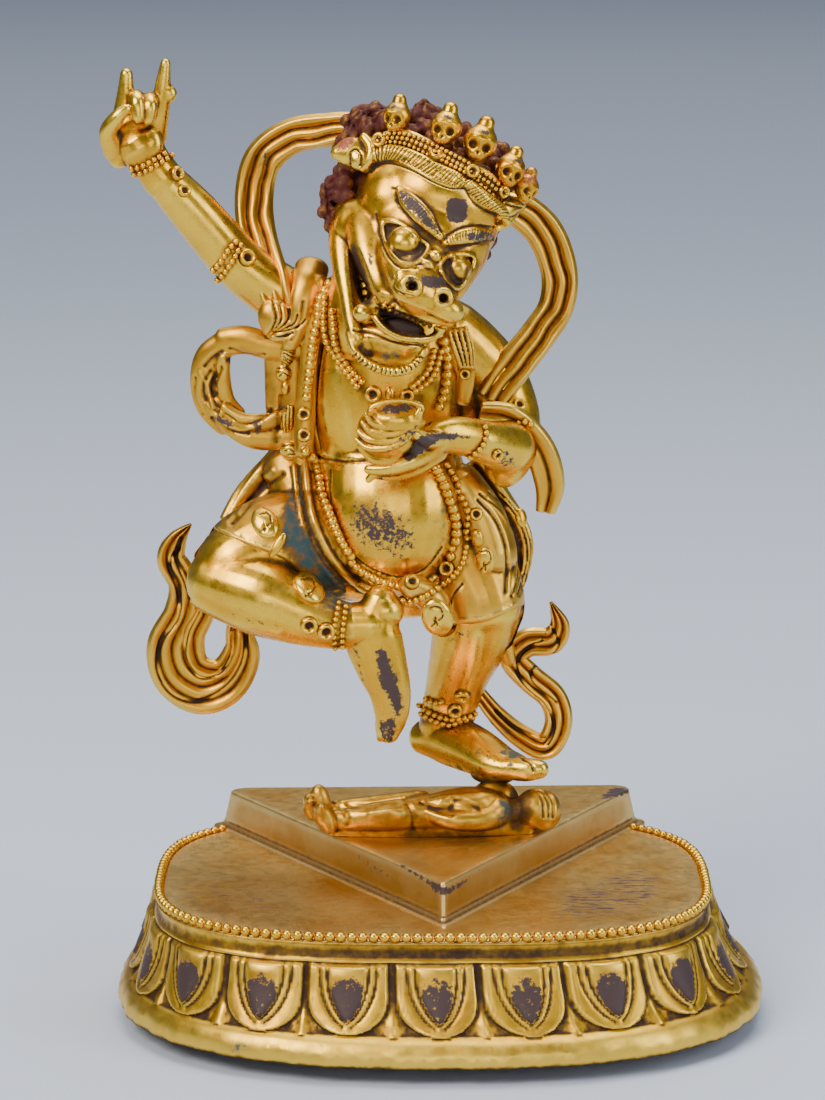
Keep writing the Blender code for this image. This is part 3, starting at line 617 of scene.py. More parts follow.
def strewn(name, pattern, places):
    # one mesh holding a copy of the pattern at each place
    points, _ = shapeOf(pattern)
    flat = np.column_stack([points, np.ones(len(points))])
    faces = [list(f.vertices) for f in pattern.data.polygons]
    allPoints, allFaces = [], []
    for k, place in enumerate(places):
        allPoints.append((flat @ np.array(place).T)[:, :3])
        allFaces += [[v + k * len(points) for v in f] for f in faces]
    piece = newPiece(name, np.vstack(allPoints), allFaces)
    for layer in pattern.data.attributes:
        if layer.name in ("dirtAndShade", "worn", "rubbedAndHighlit", "redPaint"):
            values = np.zeros(len(points), np.float32)
            layer.data.foreach_get("value", values)
            paint(piece, layer.name, np.tile(values, len(places)))
    return piece


def beadPattern():
    # a small ball, rubbed bright with a painted highlight on top, with dirt and painted shade round its foot
    bpy.ops.object.select_all(action="DESELECT")
    bpy.ops.mesh.primitive_uv_sphere_add(segments=10, ring_count=7, radius=1)
    bead = bpy.context.object
    points, _ = shapeOf(bead)
    paint(bead, "dirtAndShade", np.clip(-points[:, 2] * 1.1 - 0.05, 0, 1))
    paint(bead, "rubbedAndHighlit", np.clip(points[:, 2] * 1.3 - 0.3, 0, 1))
    bead.data.shade_smooth()
    return bead


def standOn(point, normal, size):
    # a place on a skin: the pattern's Z goes along the skin's normal
    turn = Vector(normal).to_track_quat("Z", "Y").to_matrix().to_4x4()
    return Matrix.Translation(point) @ turn @ Matrix.Diagonal((*size, 1))


bead = beadPattern()


# The row of beads round the deck
def rimBeads():
    around = rimPoints(np.linspace(0, 1, 4001))
    length = np.linalg.norm(np.diff(around, axis=0), axis=1).sum()
    count = round(length / base["beadPitch"])
    ring = rimPoints(np.arange(count) / count)
    middle = ring.mean(0)
    places = []
    for x, y in ring:
        inward = Vector((middle[0] - x, middle[1] - y, 0)).normalized()
        spot = Vector((x, y, deckLevel)) + inward * base["bead"] / 2
        size = base["bead"] / 2 * chance.uniform(0.96, 1.06)
        lean = Vector((-inward.x, -inward.y, 1.1)).normalized()
        places.append(standOn(spot * mm, lean, (size * mm * 1.04, size * mm, size * mm)))
    piece = strewn("rimBeads", bead, places)
    return piece, [place.translation for place in places]


rim, rimSpots = rimBeads()
# dirt and painted shade round the foot of each rim bead
shadedAndSoiledBy(lotus, rimSpots, 1.7, 0.95)
keep(rim, "deck_bead_row", burnished)


# The triangular plinth, with a soft fillet at its foot
plinth = {"side": 77.5, "height": 6.9, "batter": 0.7, "corner": 2.6, "offset": -1.1, "turn": 1.7,
          "backMargin": 3.8}
plinthTop = deckLevel + plinth["height"]
plinthBack = base["rimOffset"][1] + base["rimDepth"] / 2 - plinth["backMargin"]
plinthMiddle = (plinth["offset"], plinthBack - plinth["side"] * math.sqrt(3) / 6)


def trianglePlan(grow):
    # the plinth's outline, grown outwards by so many mm, its front point sharp and its back corners rounded
    corners = []
    reach = (plinth["side"] + 2 * math.sqrt(3) * grow) / math.sqrt(3)
    for angle, radius in ((270, 0.5), (30, plinth["corner"]), (150, plinth["corner"])):
        a = math.radians(angle)
        centre = Vector((math.cos(a), math.sin(a))) * (reach - 2 * radius)
        for k in range(9):
            turn = a + math.radians(-60 + 15 * k)
            corners.append(centre + Vector((math.cos(turn), math.sin(turn))) * radius)
    outline = []
    for k, corner in enumerate(corners):
        ahead = corners[(k + 1) % len(corners)]
        steps = 60 if (ahead - corner).length > 10 else 1  # the long sides in short steps
        outline += [corner.lerp(ahead, s / steps) for s in range(steps)]
    spun = Matrix.Rotation(math.radians(plinth["turn"]), 2)
    return np.array([spun @ p for p in outline]) + np.array(plinthMiddle)


def trianglePlinth():
    rings = []
    foot = [(1.9, -0.5), (1.75, 0.02), (1.25, 0.14), (0.95, 0.45), (0.78, 1.0)]
    lean = plinth["batter"]
    sides = [(lean - lean * t, 1.0 + (plinth["height"] - 1.45) * t) for t in np.linspace(0.04, 1, 12)]
    top = [(-0.05, plinth["height"] - 0.25), (-0.16, plinth["height"] - 0.08), (-0.36, plinth["height"])]
    for grow, up in foot + sides + top:
        plan = trianglePlan(grow)
        wave = 0.10 * np.sin(plan[:, 0] * 0.35 + up * 0.6) * np.cos(plan[:, 1] * 0.3) * (1 if up > 0 else 0)
        rings.append(np.column_stack([plan * (1 + wave[:, None] * 0.004),
            np.full(len(plan), deckLevel + up)]))
    plan = trianglePlan(-0.36)
    middle = np.array(plinthMiddle)
    for share in np.linspace(1, 0.05, 26)[1:]:
        ring = middle + (plan - middle) * share
        wave = 0.05 * np.sin(ring[:, 0] * 0.33) * np.cos(ring[:, 1] * 0.41 + 1)
        rings.append(np.column_stack([ring, plinthTop + wave * min(1, (1 - share) * 8)]))
    return skinOver("trianglePlinth", np.array(rings) * mm)


block = trianglePlinth()
soiledAndShaded(block, fine=(4, 0.04), broad=(24, 0.16))
points, _ = shapeOf(block)
# painted shade: the plinth's foot darkened where it meets the deck
paint(block, "dirtAndShade", np.clip(1 - (points[:, 2] / mm - deckLevel) / 0.4, 0, 1) * 0.25)
paintAreas(block, "worn", [
    # the front point's edge
    ([(380, 852), (410, 868), (440, 884), (455, 884), (494, 862), (480, 870), (446, 896), (420, 880)],
     4, 0.75),
    ([(596, 802), (612, 786), (632, 790), (622, 796)], 5, 0.75),  # the right corner
    ([(345, 846), (372, 862), (412, 886), (400, 884), (360, 862)], 8, 0.62),
    ([(340, 882), (372, 900), (420, 918), (404, 916), (366, 904)], 7, 0.56),
    ([(470, 916), (500, 902), (520, 894), (490, 914)], 4, 0.58),
])
paintAreas(block, "verdigris", [([(590, 850), (628, 832), (636, 838), (600, 856)], 6, 0.6),
    ([(560, 826), (600, 808), (606, 816), (566, 836)], 10, 0.3)])
keep(block, "triangular_plinth", brushed)
print("plinth", len(block.data.polygons))


# The trampled body, lying on its back, in a space of its own millimetres
trampled = {"aside": -0.6, "ahead": 17.4, "lift": 0.3, "thickness": 8.4}
bodyPlace = Vector((trampled["aside"], plinthMiddle[1] - trampled["ahead"], plinthTop + trampled["lift"]))
bodySpace = Matrix.Translation(bodyPlace * mm) @ Matrix.Scale(mm, 4)


def trampledBody():
    s = bodySpace
    lumps = [
        limb(s, [(-18, 4, 2.6), (-10, 3.4, 3.5), (-3, 4, 3.9), (3, 5, 4.4)], [1.8, 2.6, 3.0, 3.6]),
        limb(s, [(-20, 9.4, 2.6), (-12, 9.2, 3.4), (-3, 8, 4.2)], [1.8, 2.2, 2.8]),
        limb(s, [(-18.2, 4, 2.2), (-20.0, 2.8, 3.2), (-20.6, 2.0, 5.0)], [1.7, 1.7, 1.2]),
        limb(s, [(-20.4, 9.4, 2.2), (-22.2, 8.6, 3.4), (-22.6, 8.0, 5.2)], [1.7, 1.7, 1.2]),
        ball(s, (5.6, 5.6, 4.2), (7.4, 5.0, 3.9)),
        ball(s, (-3.0, 5.6, 3.6), (3.8, 3.6, 3.2)),
        limb(s, [(-1.6, 2.2, 4.4), (2.8, 0.8, 3.4), (8.4, 1.8, 3.4), (10.8, 4.6, 4.4)], [1.3, 1.7, 2.0, 2.6]),
        limb(s, [(-2.4, 2.6, 5.2), (0.6, 2.4, 6.2), (3.6, 2.8, 6.6)], [1.1, 1.2, 1.1]),
        limb(s, [(3.6, 2.6, 6.7), (7.6, 3.4, 6.4), (10.6, 5.4, 5.4)], [1.0, 1.5, 1.9]),
        ball(s, (10.2, 8.6, 5.0), (4.4, 3.0, 3.9)), ball(s, (5.4, 3.2, 5.6), (4.4, 2.2, 2.2), -6),
        limb(s, [(10, 5.2, 3.6), (14.6, 6, 3.6)], [2.4, 2.2]),
        ball(s, (17.4, 6.2, 4.1), (3.7, 3.5, 3.6)),
        ball(s, (18.8, 6.8, 3.6), (3.4, 3.8, 3.6)),
        limb(s, [(-17.5, 4.4, 1.0), (-6, 4.0, 1.4), (6, 4.6, 1.4), (16, 6.0, 1.2)],
             [(2.2, 1.4), (3.2, 1.6), (4.6, 1.6), (3.2, 1.5)]),
        ball(s, (-20.6, 8.6, 4.6), (1.9, 1.9, 3.4), -12), ball(s, (-19.6, 2.6, 3.2), (1.6, 1.6, 3.0), -22),
    ]
    for k, finger in enumerate((-0.8, 0.0, 0.8)):
        lumps.append(limb(s, [(-0.6 + finger, 1.9, 5.4 + 0.2 * k), (0.9 + finger, 1.3, 5.9),
                              (1.6 + finger, 1.5, 6.9)], [0.45, 0.42, 0.36]))
    for side, tilt in ((0.0, 0.4), (5.4, 0.0)):  # toes
        for k in range(4):
            lumps.append(ball(s, (-20.4 - side * 0.38 + 0.5 * k, 1.2 + side + 0.75 * k,
                                  5.4 + tilt - 0.25 * k), 0.62, segments=12))
    piece = fused("trampledBody", lumps, 0.26, 5)
    points, _ = shapeOf(piece)
    points[:, 2] = np.maximum(points[:, 2], (plinthTop + 0.05) * mm)  # flat where it lies
    reshape(piece, points)
    return piece


body = trampledBody()
hairRings = [([(527 + k, 786), (538 + k, 793), (543 + k, 803), (543 + k, 817)], 3.2, -0.28)
             for k in (0, 5.5, 10)]
drawn(body, lines=hairRings + [
    ([(420, 802), (436, 810), (452, 814)], 5.0, -0.35),  # the arm's lower edge
    ([(450, 799), (464, 802), (478, 808)], 4.5, -0.22),
    ([(404, 800), (411, 812), (413, 828)], 5.5, -0.30),  # hem at the hip
    ([(336, 802), (346, 814), (348, 824)], 5.0, -0.25),  # ankle
    ([(348, 804), (372, 808), (398, 802)], 6.0, -0.30),  # hollow between the legs
    ([(372, 812), (388, 810), (400, 814)], 8.0, 0.40),  # knee
])
soiledAndShaded(body, fine=(5, 0.06), broad=(24, 0.18))
# the lying body darkened all over, with painted shade under the standing foot, along its lower edge and in
# the fold at the hip
paintAreas(body, "dirtAndShade", [([(290, 776), (570, 776), (570, 850), (290, 850)], 8, 0.26),
    ([(508, 786), (532, 783), (529, 826), (508, 828)], 7, 0.85),
                          ([(408, 826), (500, 834), (500, 846), (408, 840)], 7, 0.7),
                          ([(404, 796), (424, 806), (424, 824), (404, 824)], 7, 0.5)])
paintAreas(body, "verdigris", [([(498, 800), (509, 798), (511, 826), (500, 830)], 4, 0.7)])
keep(body, "trampled_figure", cloth, ["trampled_body"])


# The dancing figure, drawn in units of its height
figure = {
    "height": 127.9, "unitsTall": 126,  # mm, and the units it is drawn in
    "aside": -0.6, "ahead": 5.1,  # units from the plinth's middle
    "soleGap": 0.3,  # mm over the trampled body
    "headMiddle": (-3.9, -7.0, 96.7), "headNod": -11, "headLean": 25,
}
unit = figure["height"] / figure["unitsTall"] * mm
soleLevel = plinthTop + trampled["lift"] + trampled["thickness"] + figure["soleGap"]
figurePlace = Vector((figure["aside"] * unit, plinthMiddle[1] * mm - figure["ahead"] * unit, soleLevel * mm))
figureSpace = Matrix.Translation(figurePlace) @ Matrix.Scale(unit, 4)
headSpace = (figureSpace @ Matrix.Translation(figure["headMiddle"])
             @ Matrix.Rotation(math.radians(figure["headNod"]), 4, "X")
             @ Matrix.Rotation(math.radians(figure["headLean"]), 4, "Y"))


# Places given by the pixel where they are seen and by how far back they lie, in the figure's units
def at(px, py, depth):
    ray = sightLine(px, py)
    level = (figureSpace @ Vector((0, depth, 0))).y
    return tuple(figureSpace.inverted() @ (eye + ray * ((level - eye.y) / ray.y)))


def alongPixels(rows):
    return [at(*row) for row in rows]


def skinTree(pieces):
    # all the skins together, for finding where a line of sight meets them
    corners, faces = [], []
    for piece in pieces:
        points, _ = shapeOf(piece)
        faces += [[v + len(corners) for v in f.vertices] for f in piece.data.polygons]
        corners += points.tolist()
    return BVHTree.FromPolygons(corners, faces)


def trunk():
    s = figureSpace
    lumps = [
        limb(s, [(-5, 4, 35.4), (-5, 3, 40), (-6.5, 0, 49), (-7.4, 0, 57.7), (-7.2, 1, 67), (-7.5, 2, 76),
                 (-6.5, 0, 83)],
             [(11, 8), (14, 9.5), (13, 10), (11.5, 9), (12.5, 9), (13, 8), (7, 6)]),
        ball(s, (-7.9, -5, 47), (11.8, 9.4, 12.2)),
        limb(s, [(-8.0, -3.4, 56.6), (-7.9, -4.8, 51), (-7.9, -5, 46), (-7.6, -4.6, 41)],
             [(11.3, 7.4), (11.9, 9.0), (11.8, 9.4), (9.6, 8.0)], endTurns=(80, 40)),
        ball(s, (-8.5, -3, 68.5), (10.8, 7.3, 8.8)),
        limb(s, [(-7.4, -2.0, 82), (-8.4, -3.4, 74), (-8.6, -3.8, 66), (-8.4, -3.2, 58)],
             [(10.5, 5.6), (12.2, 6.6), (12.4, 6.6), (11.4, 6.0)]),
        limb(s, [(-16.4, 0.4, 84), (-17.2, -0.8, 74), (-17.2, -1.2, 65), (-16.2, -2.2, 56),
                 (-15.8, -4.0, 48)], [(4.6, 4.6), (5.0, 5.2), (4.8, 5.4), (4.4, 5.2), (4.4, 5.0)]),
        ball(s, (-6.0, 2, 39.4), (17.0, 10.5, 6.8), -8),
        ball(s, (4.4, 1.5, 66.5), (3.4, 4.0, 5.0)),
        limb(s, [(-9, 2, 78), (-8, 0, 90)], [(9, 7.5), (8, 7)]),
        # the raised arm down to the armlet and up to the wrist
        limb(s, [(-15, 3, 75.5), (-21.6, 3, 80.4), (-27.6, 2, 85.2), (-34, 1, 90.2), (-41.8, 0, 99.4),
                 (-48.2, -1, 106.6)],
             [6.2, 6.0, 5.2, 4.6, 4.15, 3.2]),
        # the cup arm
        limb(s, [(1.4, 3, 77.4), (5.2, 3.4, 74.2), (9.4, 3.2, 69.8), (12.5, 1, 63.4), (12.6, -4, 58.8)],
             [6.8, 6.7, 6.2, 5.4, 4.8]),
        ball(s, (12.2, -5.2, 58.2), (4.3, 5.0, 6.0), 12),
        limb(s, [(12, -7, 59.6), (8.4, -12, 61.2), (5.0, -15, 62.8)], [4.8, (3.8, 3.6), (3.3, 2.9)]),
        # the raised leg
        limb(s, [(-10, 2, 40), (-18, -1, 41), (-27, -5, 41), (-33.5, -7.5, 39.6), (-37.0, -8.5, 36.6)],
             [9.5, 9.2, 8.6, 7.6, 6.3]),
        limb(s, [(-37, -9, 36.4), (-30, -12, 34.6), (-23.6, -13.4, 32), (-16.8, -13.6, 29.9),
                 (-12.4, -13.6, 29.8)],
             [6.3, 7.0, 5.7, 4.3, 3.9]),
        # the standing leg
        limb(s, [(0.4, 3, 40), (4.8, 1, 36), (7.3, -1.6, 31.4)], [9.0, 8.6, 7.6]),
        limb(s, [(7.3, -1.6, 31.6), (5.9, 0, 25), (3.9, 3, 18), (2.3, 6, 11.6), (1.6, 7.2, 7.8)],
             [7.4, 6.9, 5.6, 4.7, 4.6]),
    ]
    return fused("trunk", lumps, 0.40, 6)


torso = trunk()
drawn(torso, lines=[
    ([(318, 457), (345, 461), (380, 459)], 2.2, -0.50),  # fold under the chest
    ([(322, 344), (317, 380), (315, 420), (320, 450)], 2.4, -0.30),  # beside the bead strand
    # the garment's edge round the belly
    ([(305, 462), (307, 490), (314, 522), (329, 554), (352, 580), (380, 595), (402, 601)], 5.5, 0.85),
    ([(311, 470), (314, 496), (323, 526), (336, 551), (356, 572), (380, 586)], 1.6, -0.35),
    ([(330, 470), (331, 512), (344, 544), (366, 566), (396, 577), (424, 570), (442, 548)], 1.8, -0.28),
    ([(336, 372), (344, 400), (348, 430), (350, 455)], 12, 0.22),  # the chest's soft middle
    ([(196, 603), (235, 622), (280, 633)], 7, 0.25),  # calf
    ([(448, 640), (441, 670), (432, 690)], 9, -0.15),
    ([(478, 636), (474, 664), (466, 690)], 8, 0.35),  # shin bone
    ([(419, 700), (430, 709), (450, 714), (468, 712), (482, 703)], 9, 0.35),  # anklet
])
paintAreas(torso, "worn", [
    ([(352, 498), (380, 500), (408, 520), (420, 545), (404, 556), (372, 552), (348, 530)], 22, 0.62),
    ([(232, 608), (262, 616), (290, 628), (262, 630), (236, 620)], 10, 0.42),
    ([(498, 450), (516, 452), (512, 468), (498, 466)], 6, 0.5),
    ([(445, 630), (476, 626), (470, 640), (448, 642)], 5, 0.4),
    ([(262, 575), (300, 590), (296, 602), (262, 590)], 8, 0.36),
])
paintAreas(torso, "verdigris", [
    ([(290, 515), (316, 548), (346, 590), (352, 612), (326, 606), (300, 575), (284, 540)], 12, 0.95),
    ([(446, 448), (452, 500), (446, 556), (438, 540), (440, 480)], 8, 0.45),
    ([(372, 470), (404, 474), (400, 490), (370, 486)], 8, 0.35),
])
# darker patches along the garment's left edge, on the chest under the necklace and above the cup, and beside
# the cup arm
paintAreas(torso, "dirtAndShade", [
    ([(286, 500), (308, 560), (352, 612), (336, 622), (292, 580)], 12, 0.55),
    ([(326, 330), (338, 330), (372, 386), (410, 392), (442, 340), (448, 396), (404, 412), (360, 400)],
     8, 0.5),
    ([(446, 380), (480, 380), (500, 402), (448, 414)], 10, 0.55),
])
soiledAndShaded(torso)


# Hands and feet have finer skins than the trunk, and start inside a bracelet or anklet
def raisedHand():
    s = figureSpace
    lumps = [
        limb(s, [(-46.8, -1, 104.9), (-49.0, -1.2, 108), (-50.8, -1.4, 110.6)], [3.6, 3.5, 4.1]),
        ball(s, (-51.6, -1.2, 112.0), (4.7, 3.0, 4.9), -12),
        ball(s, (-54.0, -1.6, 111.0), (2.6, 2.6, 4.2), 6),
        limb(s, [(-48.2, -1, 112), (-47.2, -2.0, 117), (-46.6, -2.4, 121), (-46.1, -2.6, 124.7)],
             [2.1, 1.7, 1.35, 0.9]),
        limb(s, [(-53.6, -1, 115), (-53.0, -1.6, 119.6), (-52.8, -1.8, 122.8)], [1.9, 1.45, 1.1]),
        # folded fingers, their tips turned into the palm
        limb(s, [(-51.4, -0.6, 115.6), (-51.2, -2.6, 118.9), (-50.8, -5.0, 118.4), (-50.6, -5.6, 116.0)],
             [1.6, 1.45, 1.35, 1.15]),
        limb(s, [(-49.2, -0.6, 115.6), (-48.9, -2.6, 118.6), (-48.6, -4.8, 117.8), (-48.8, -5.2, 115.6)],
             [1.5, 1.35, 1.25, 1.05]),
        # thumb and the ball of the hand
        limb(s, [(-55.0, -2.2, 110.0), (-55.8, -4.4, 113.2), (-54.2, -5.6, 115.8), (-52.8, -5.6, 117.2)],
             [2.0, 1.6, 1.35, 1.0]),
        ball(s, (-49.2, -3.2, 110.6), (2.6, 1.8, 3.4), 10),
        ball(s, (-45.7, -2.4, 119.6), (1.5, 1.2, 1.5)),
    ]
    return fused("raisedHand", lumps, 0.22, 4)


def cupHand():
    s = figureSpace
    lumps = [
        limb(s, [(8.6, -11.8, 61.2), (4.4, -15.6, 62.9), (0.4, -18.6, 63.4), (-3.4, -20.6, 62.0)],
             [(3.5, 3.4), (3.35, 3.0), (3.0, 2.4), (2.4, 2.0)]),
        ball(s, (-1.6, -19.6, 62.4), (4.2, 2.4, 2.6), -22),
        limb(s, [(-0.4, -19.4, 61.6), (-4.6, -21.6, 59.6), (-8.6, -21.8, 58.4), (-11.6, -21.0, 58.2)],
             [1.7, 1.5, 1.25, 0.9]),
        limb(s, [(0.2, -18.6, 60.6), (-4.0, -20.4, 58.2), (-8.0, -20.4, 57.2), (-11.0, -19.6, 57.2)],
             [1.5, 1.3, 1.1, 0.8]),
        limb(s, [(0.6, -19.8, 63.2), (-1.8, -22.2, 63.4), (-3.6, -22.8, 64.6)], [1.7, 1.4, 1.0]),
    ]
    return fused("cupHand", lumps, 0.24, 4)


def raisedFoot():
    s = figureSpace
    lumps = [
        limb(s, [(-14.6, -13.6, 29.8), (-11.4, -13.6, 29.8)], [4.0, 4.2]),
        limb(s, [(-9.8, -13.4, 33.6), (-11.0, -13.8, 28.5), (-9.8, -14.2, 23.5), (-8.2, -14.4, 18.6),
                 (-7.9, -14.4, 14.4), (-8.6, -14.4, 10.8)],
             [(3.2, 3.2), (4.9, 3.8), (4.6, 3.0), (3.7, 2.6), (3.0, 2.1), (2.0, 1.5)]),
        ball(s, (-9.2, -13.6, 32.4), (3.6, 3.4, 3.2)),
    ]
    for k in range(4):  # toes seen from the sole
        lumps.append(limb(s, [(-9.9 + 1.0 * k, -13.4 - 0.35 * k, 12.6 + 0.5 * k),
                              (-9.8 + 0.95 * k, -13.6 - 0.3 * k, 10.0 + 0.8 * k)],
                          [0.95, 0.75 - 0.05 * k], sides=12))
    return fused("raisedFoot", lumps, 0.26, 4)


def standingFoot():
    s = figureSpace
    up = (0, 0, 1)
    lumps = [
        limb(s, [(2.2, 6.2, 11.4), (1.4, 7.4, 6.8)], [4.6, 4.6]),
        limb(s, [(-1.6, 9.2, 4.6), (2.0, 6.4, 4.9), (6.4, 1.6, 4.2), (10.4, -2.4, 3.0), (13.4, -4.4, 2.6)],
             [(3.6, 3.3), (4.5, 4.5), (4.6, 4.2), (4.4, 3.2), (3.7, 2.4)], facing=up),
        limb(s, [(12.4, -5.6, 2.7), (15.6, -6.8, 2.7), (17.8, -7.4, 2.9)], [2.1, 2.1, 1.7], facing=up),
        limb(s, [(12.6, -3.6, 2.4), (15.4, -4.6, 2.2), (16.6, -5.0, 2.1)], [1.4, 1.2, 0.9], facing=up),
        limb(s, [(12.2, -1.9, 2.3), (14.8, -2.7, 2.0), (15.8, -3.0, 1.9)], [1.35, 1.1, 0.85], facing=up),
        limb(s, [(11.4, -0.4, 2.2), (13.6, -0.9, 1.9), (14.6, -1.1, 1.8)], [1.3, 1.05, 0.8], facing=up),
        limb(s, [(10.4, 1.0, 2.1), (12.2, 0.8, 1.8), (13.2, 0.8, 1.6)], [1.2, 1.0, 0.8], facing=up),
        limb(s, [(10.8, -2.6, 2.2), (12.0, -3.6, 1.5)], [2.4, 2.0]),
        ball(s, (10.0, -2.4, 0.9), (4.2, 2.8, 1.9)),
    ]
    return fused("standingFoot", lumps, 0.26, 4)


handUp, handCup, footUp, footDown = raisedHand(), cupHand(), raisedFoot(), standingFoot()
paintAreas(footUp, "worn", [
    ([(376, 650), (386, 652), (396, 676), (402, 702), (398, 716), (388, 700), (378, 676)], 7, 0.95),
    ([(378, 722), (396, 718), (394, 738), (384, 744)], 6, 0.75),
    ([(350, 640), (358, 650), (368, 690), (362, 684)], 5, 0.6),
])
paintAreas(handCup, "worn", [
    ([(401, 455), (420, 437), (444, 432), (470, 438), (444, 440), (426, 450), (410, 462)], 5, 0.95),
    ([(423, 417), (434, 415), (433, 424), (422, 428)], 4, 0.7),
    ([(368, 476), (392, 473), (386, 480), (370, 481)], 4, 0.6),
])
paintAreas(footDown, "verdigris", [([(440, 756), (470, 762), (500, 776), (480, 784), (452, 774)], 8, 0.6),
    ([(498, 753), (512, 745), (532, 750), (548, 760), (548, 767), (530, 757), (510, 759)], 3, 0.85),
                                   ([(505, 763), (514, 762), (518, 771), (508, 772)], 3, 0.8)])
# painted shadow where the standing foot meets the lying body, and the anklet darkened
paintAreas(footDown, "dirtAndShade", [([(462, 774), (500, 778), (534, 784), (524, 804), (466, 800)], 5, 1.0),
    ([(416, 690), (486, 690), (486, 728), (416, 724)], 5, 0.55)])
paintAreas(footDown, "worn", [([(462, 738), (488, 748), (498, 764), (474, 758)], 9, 0.42)])
drawn(footDown, lines=[([(419, 704), (430, 713), (450, 720), (468, 719), (482, 710)], 8, 0.45),
                       ([(523, 759), (530, 763), (533, 771)], 2.6, -0.35),
                       ([(521, 757), (529, 756)], 2, -0.3)])
for piece, name in ((handUp, "raised_hand"), (handCup, "cup_hand"), (footUp, "raised_foot"),
                    (footDown, "standing_foot")):
    soiledAndShaded(piece, fine=(6, 0.060), broad=(40, 0.18))
    keep(piece, name, burnished)
keep(torso, "trunk_and_limbs", burnished, ["dancing_figure"])
print("hands and feet done")


# The head: an animal face with bulging eyes, a blunt muzzle and an open jaw
def onFace(px, py, near):
    # head units for a place seen at a pixel, this far towards the viewer from the middle of the head
    back = headSpace.inverted()
    start, way = back @ eye, back.to_3x3() @ sightLine(px, py)
    return tuple(start + way * ((-near - start.y) / way.y))


def alongFace(rows):
    return [onFace(*row) for row in rows]


def onSkin(tree, px, py, out):
    # head units for a place on the skin seen at a pixel, moved out towards the viewer
    spot = headSpace.inverted() @ tree.ray_cast(eye, sightLine(px, py))[0]
    return onFace(px, py, out - spot.y)


def alongSkin(tree, rows):
    return [onSkin(tree, *row) for row in rows]


def loopPoints(centre, radii, lean, count):
    # a closed ring of points round a centre, in the plane that faces the viewer
    points = []
    for k in range(count + 1):
        a = 2 * math.pi * k / count
        x, z = radii[0] * math.cos(a), radii[1] * math.sin(a)
        c, s = math.cos(math.radians(lean)), math.sin(math.radians(lean))
        points.append((centre[0] + x * c + z * s, centre[1], centre[2] - x * s + z * c))
    return points


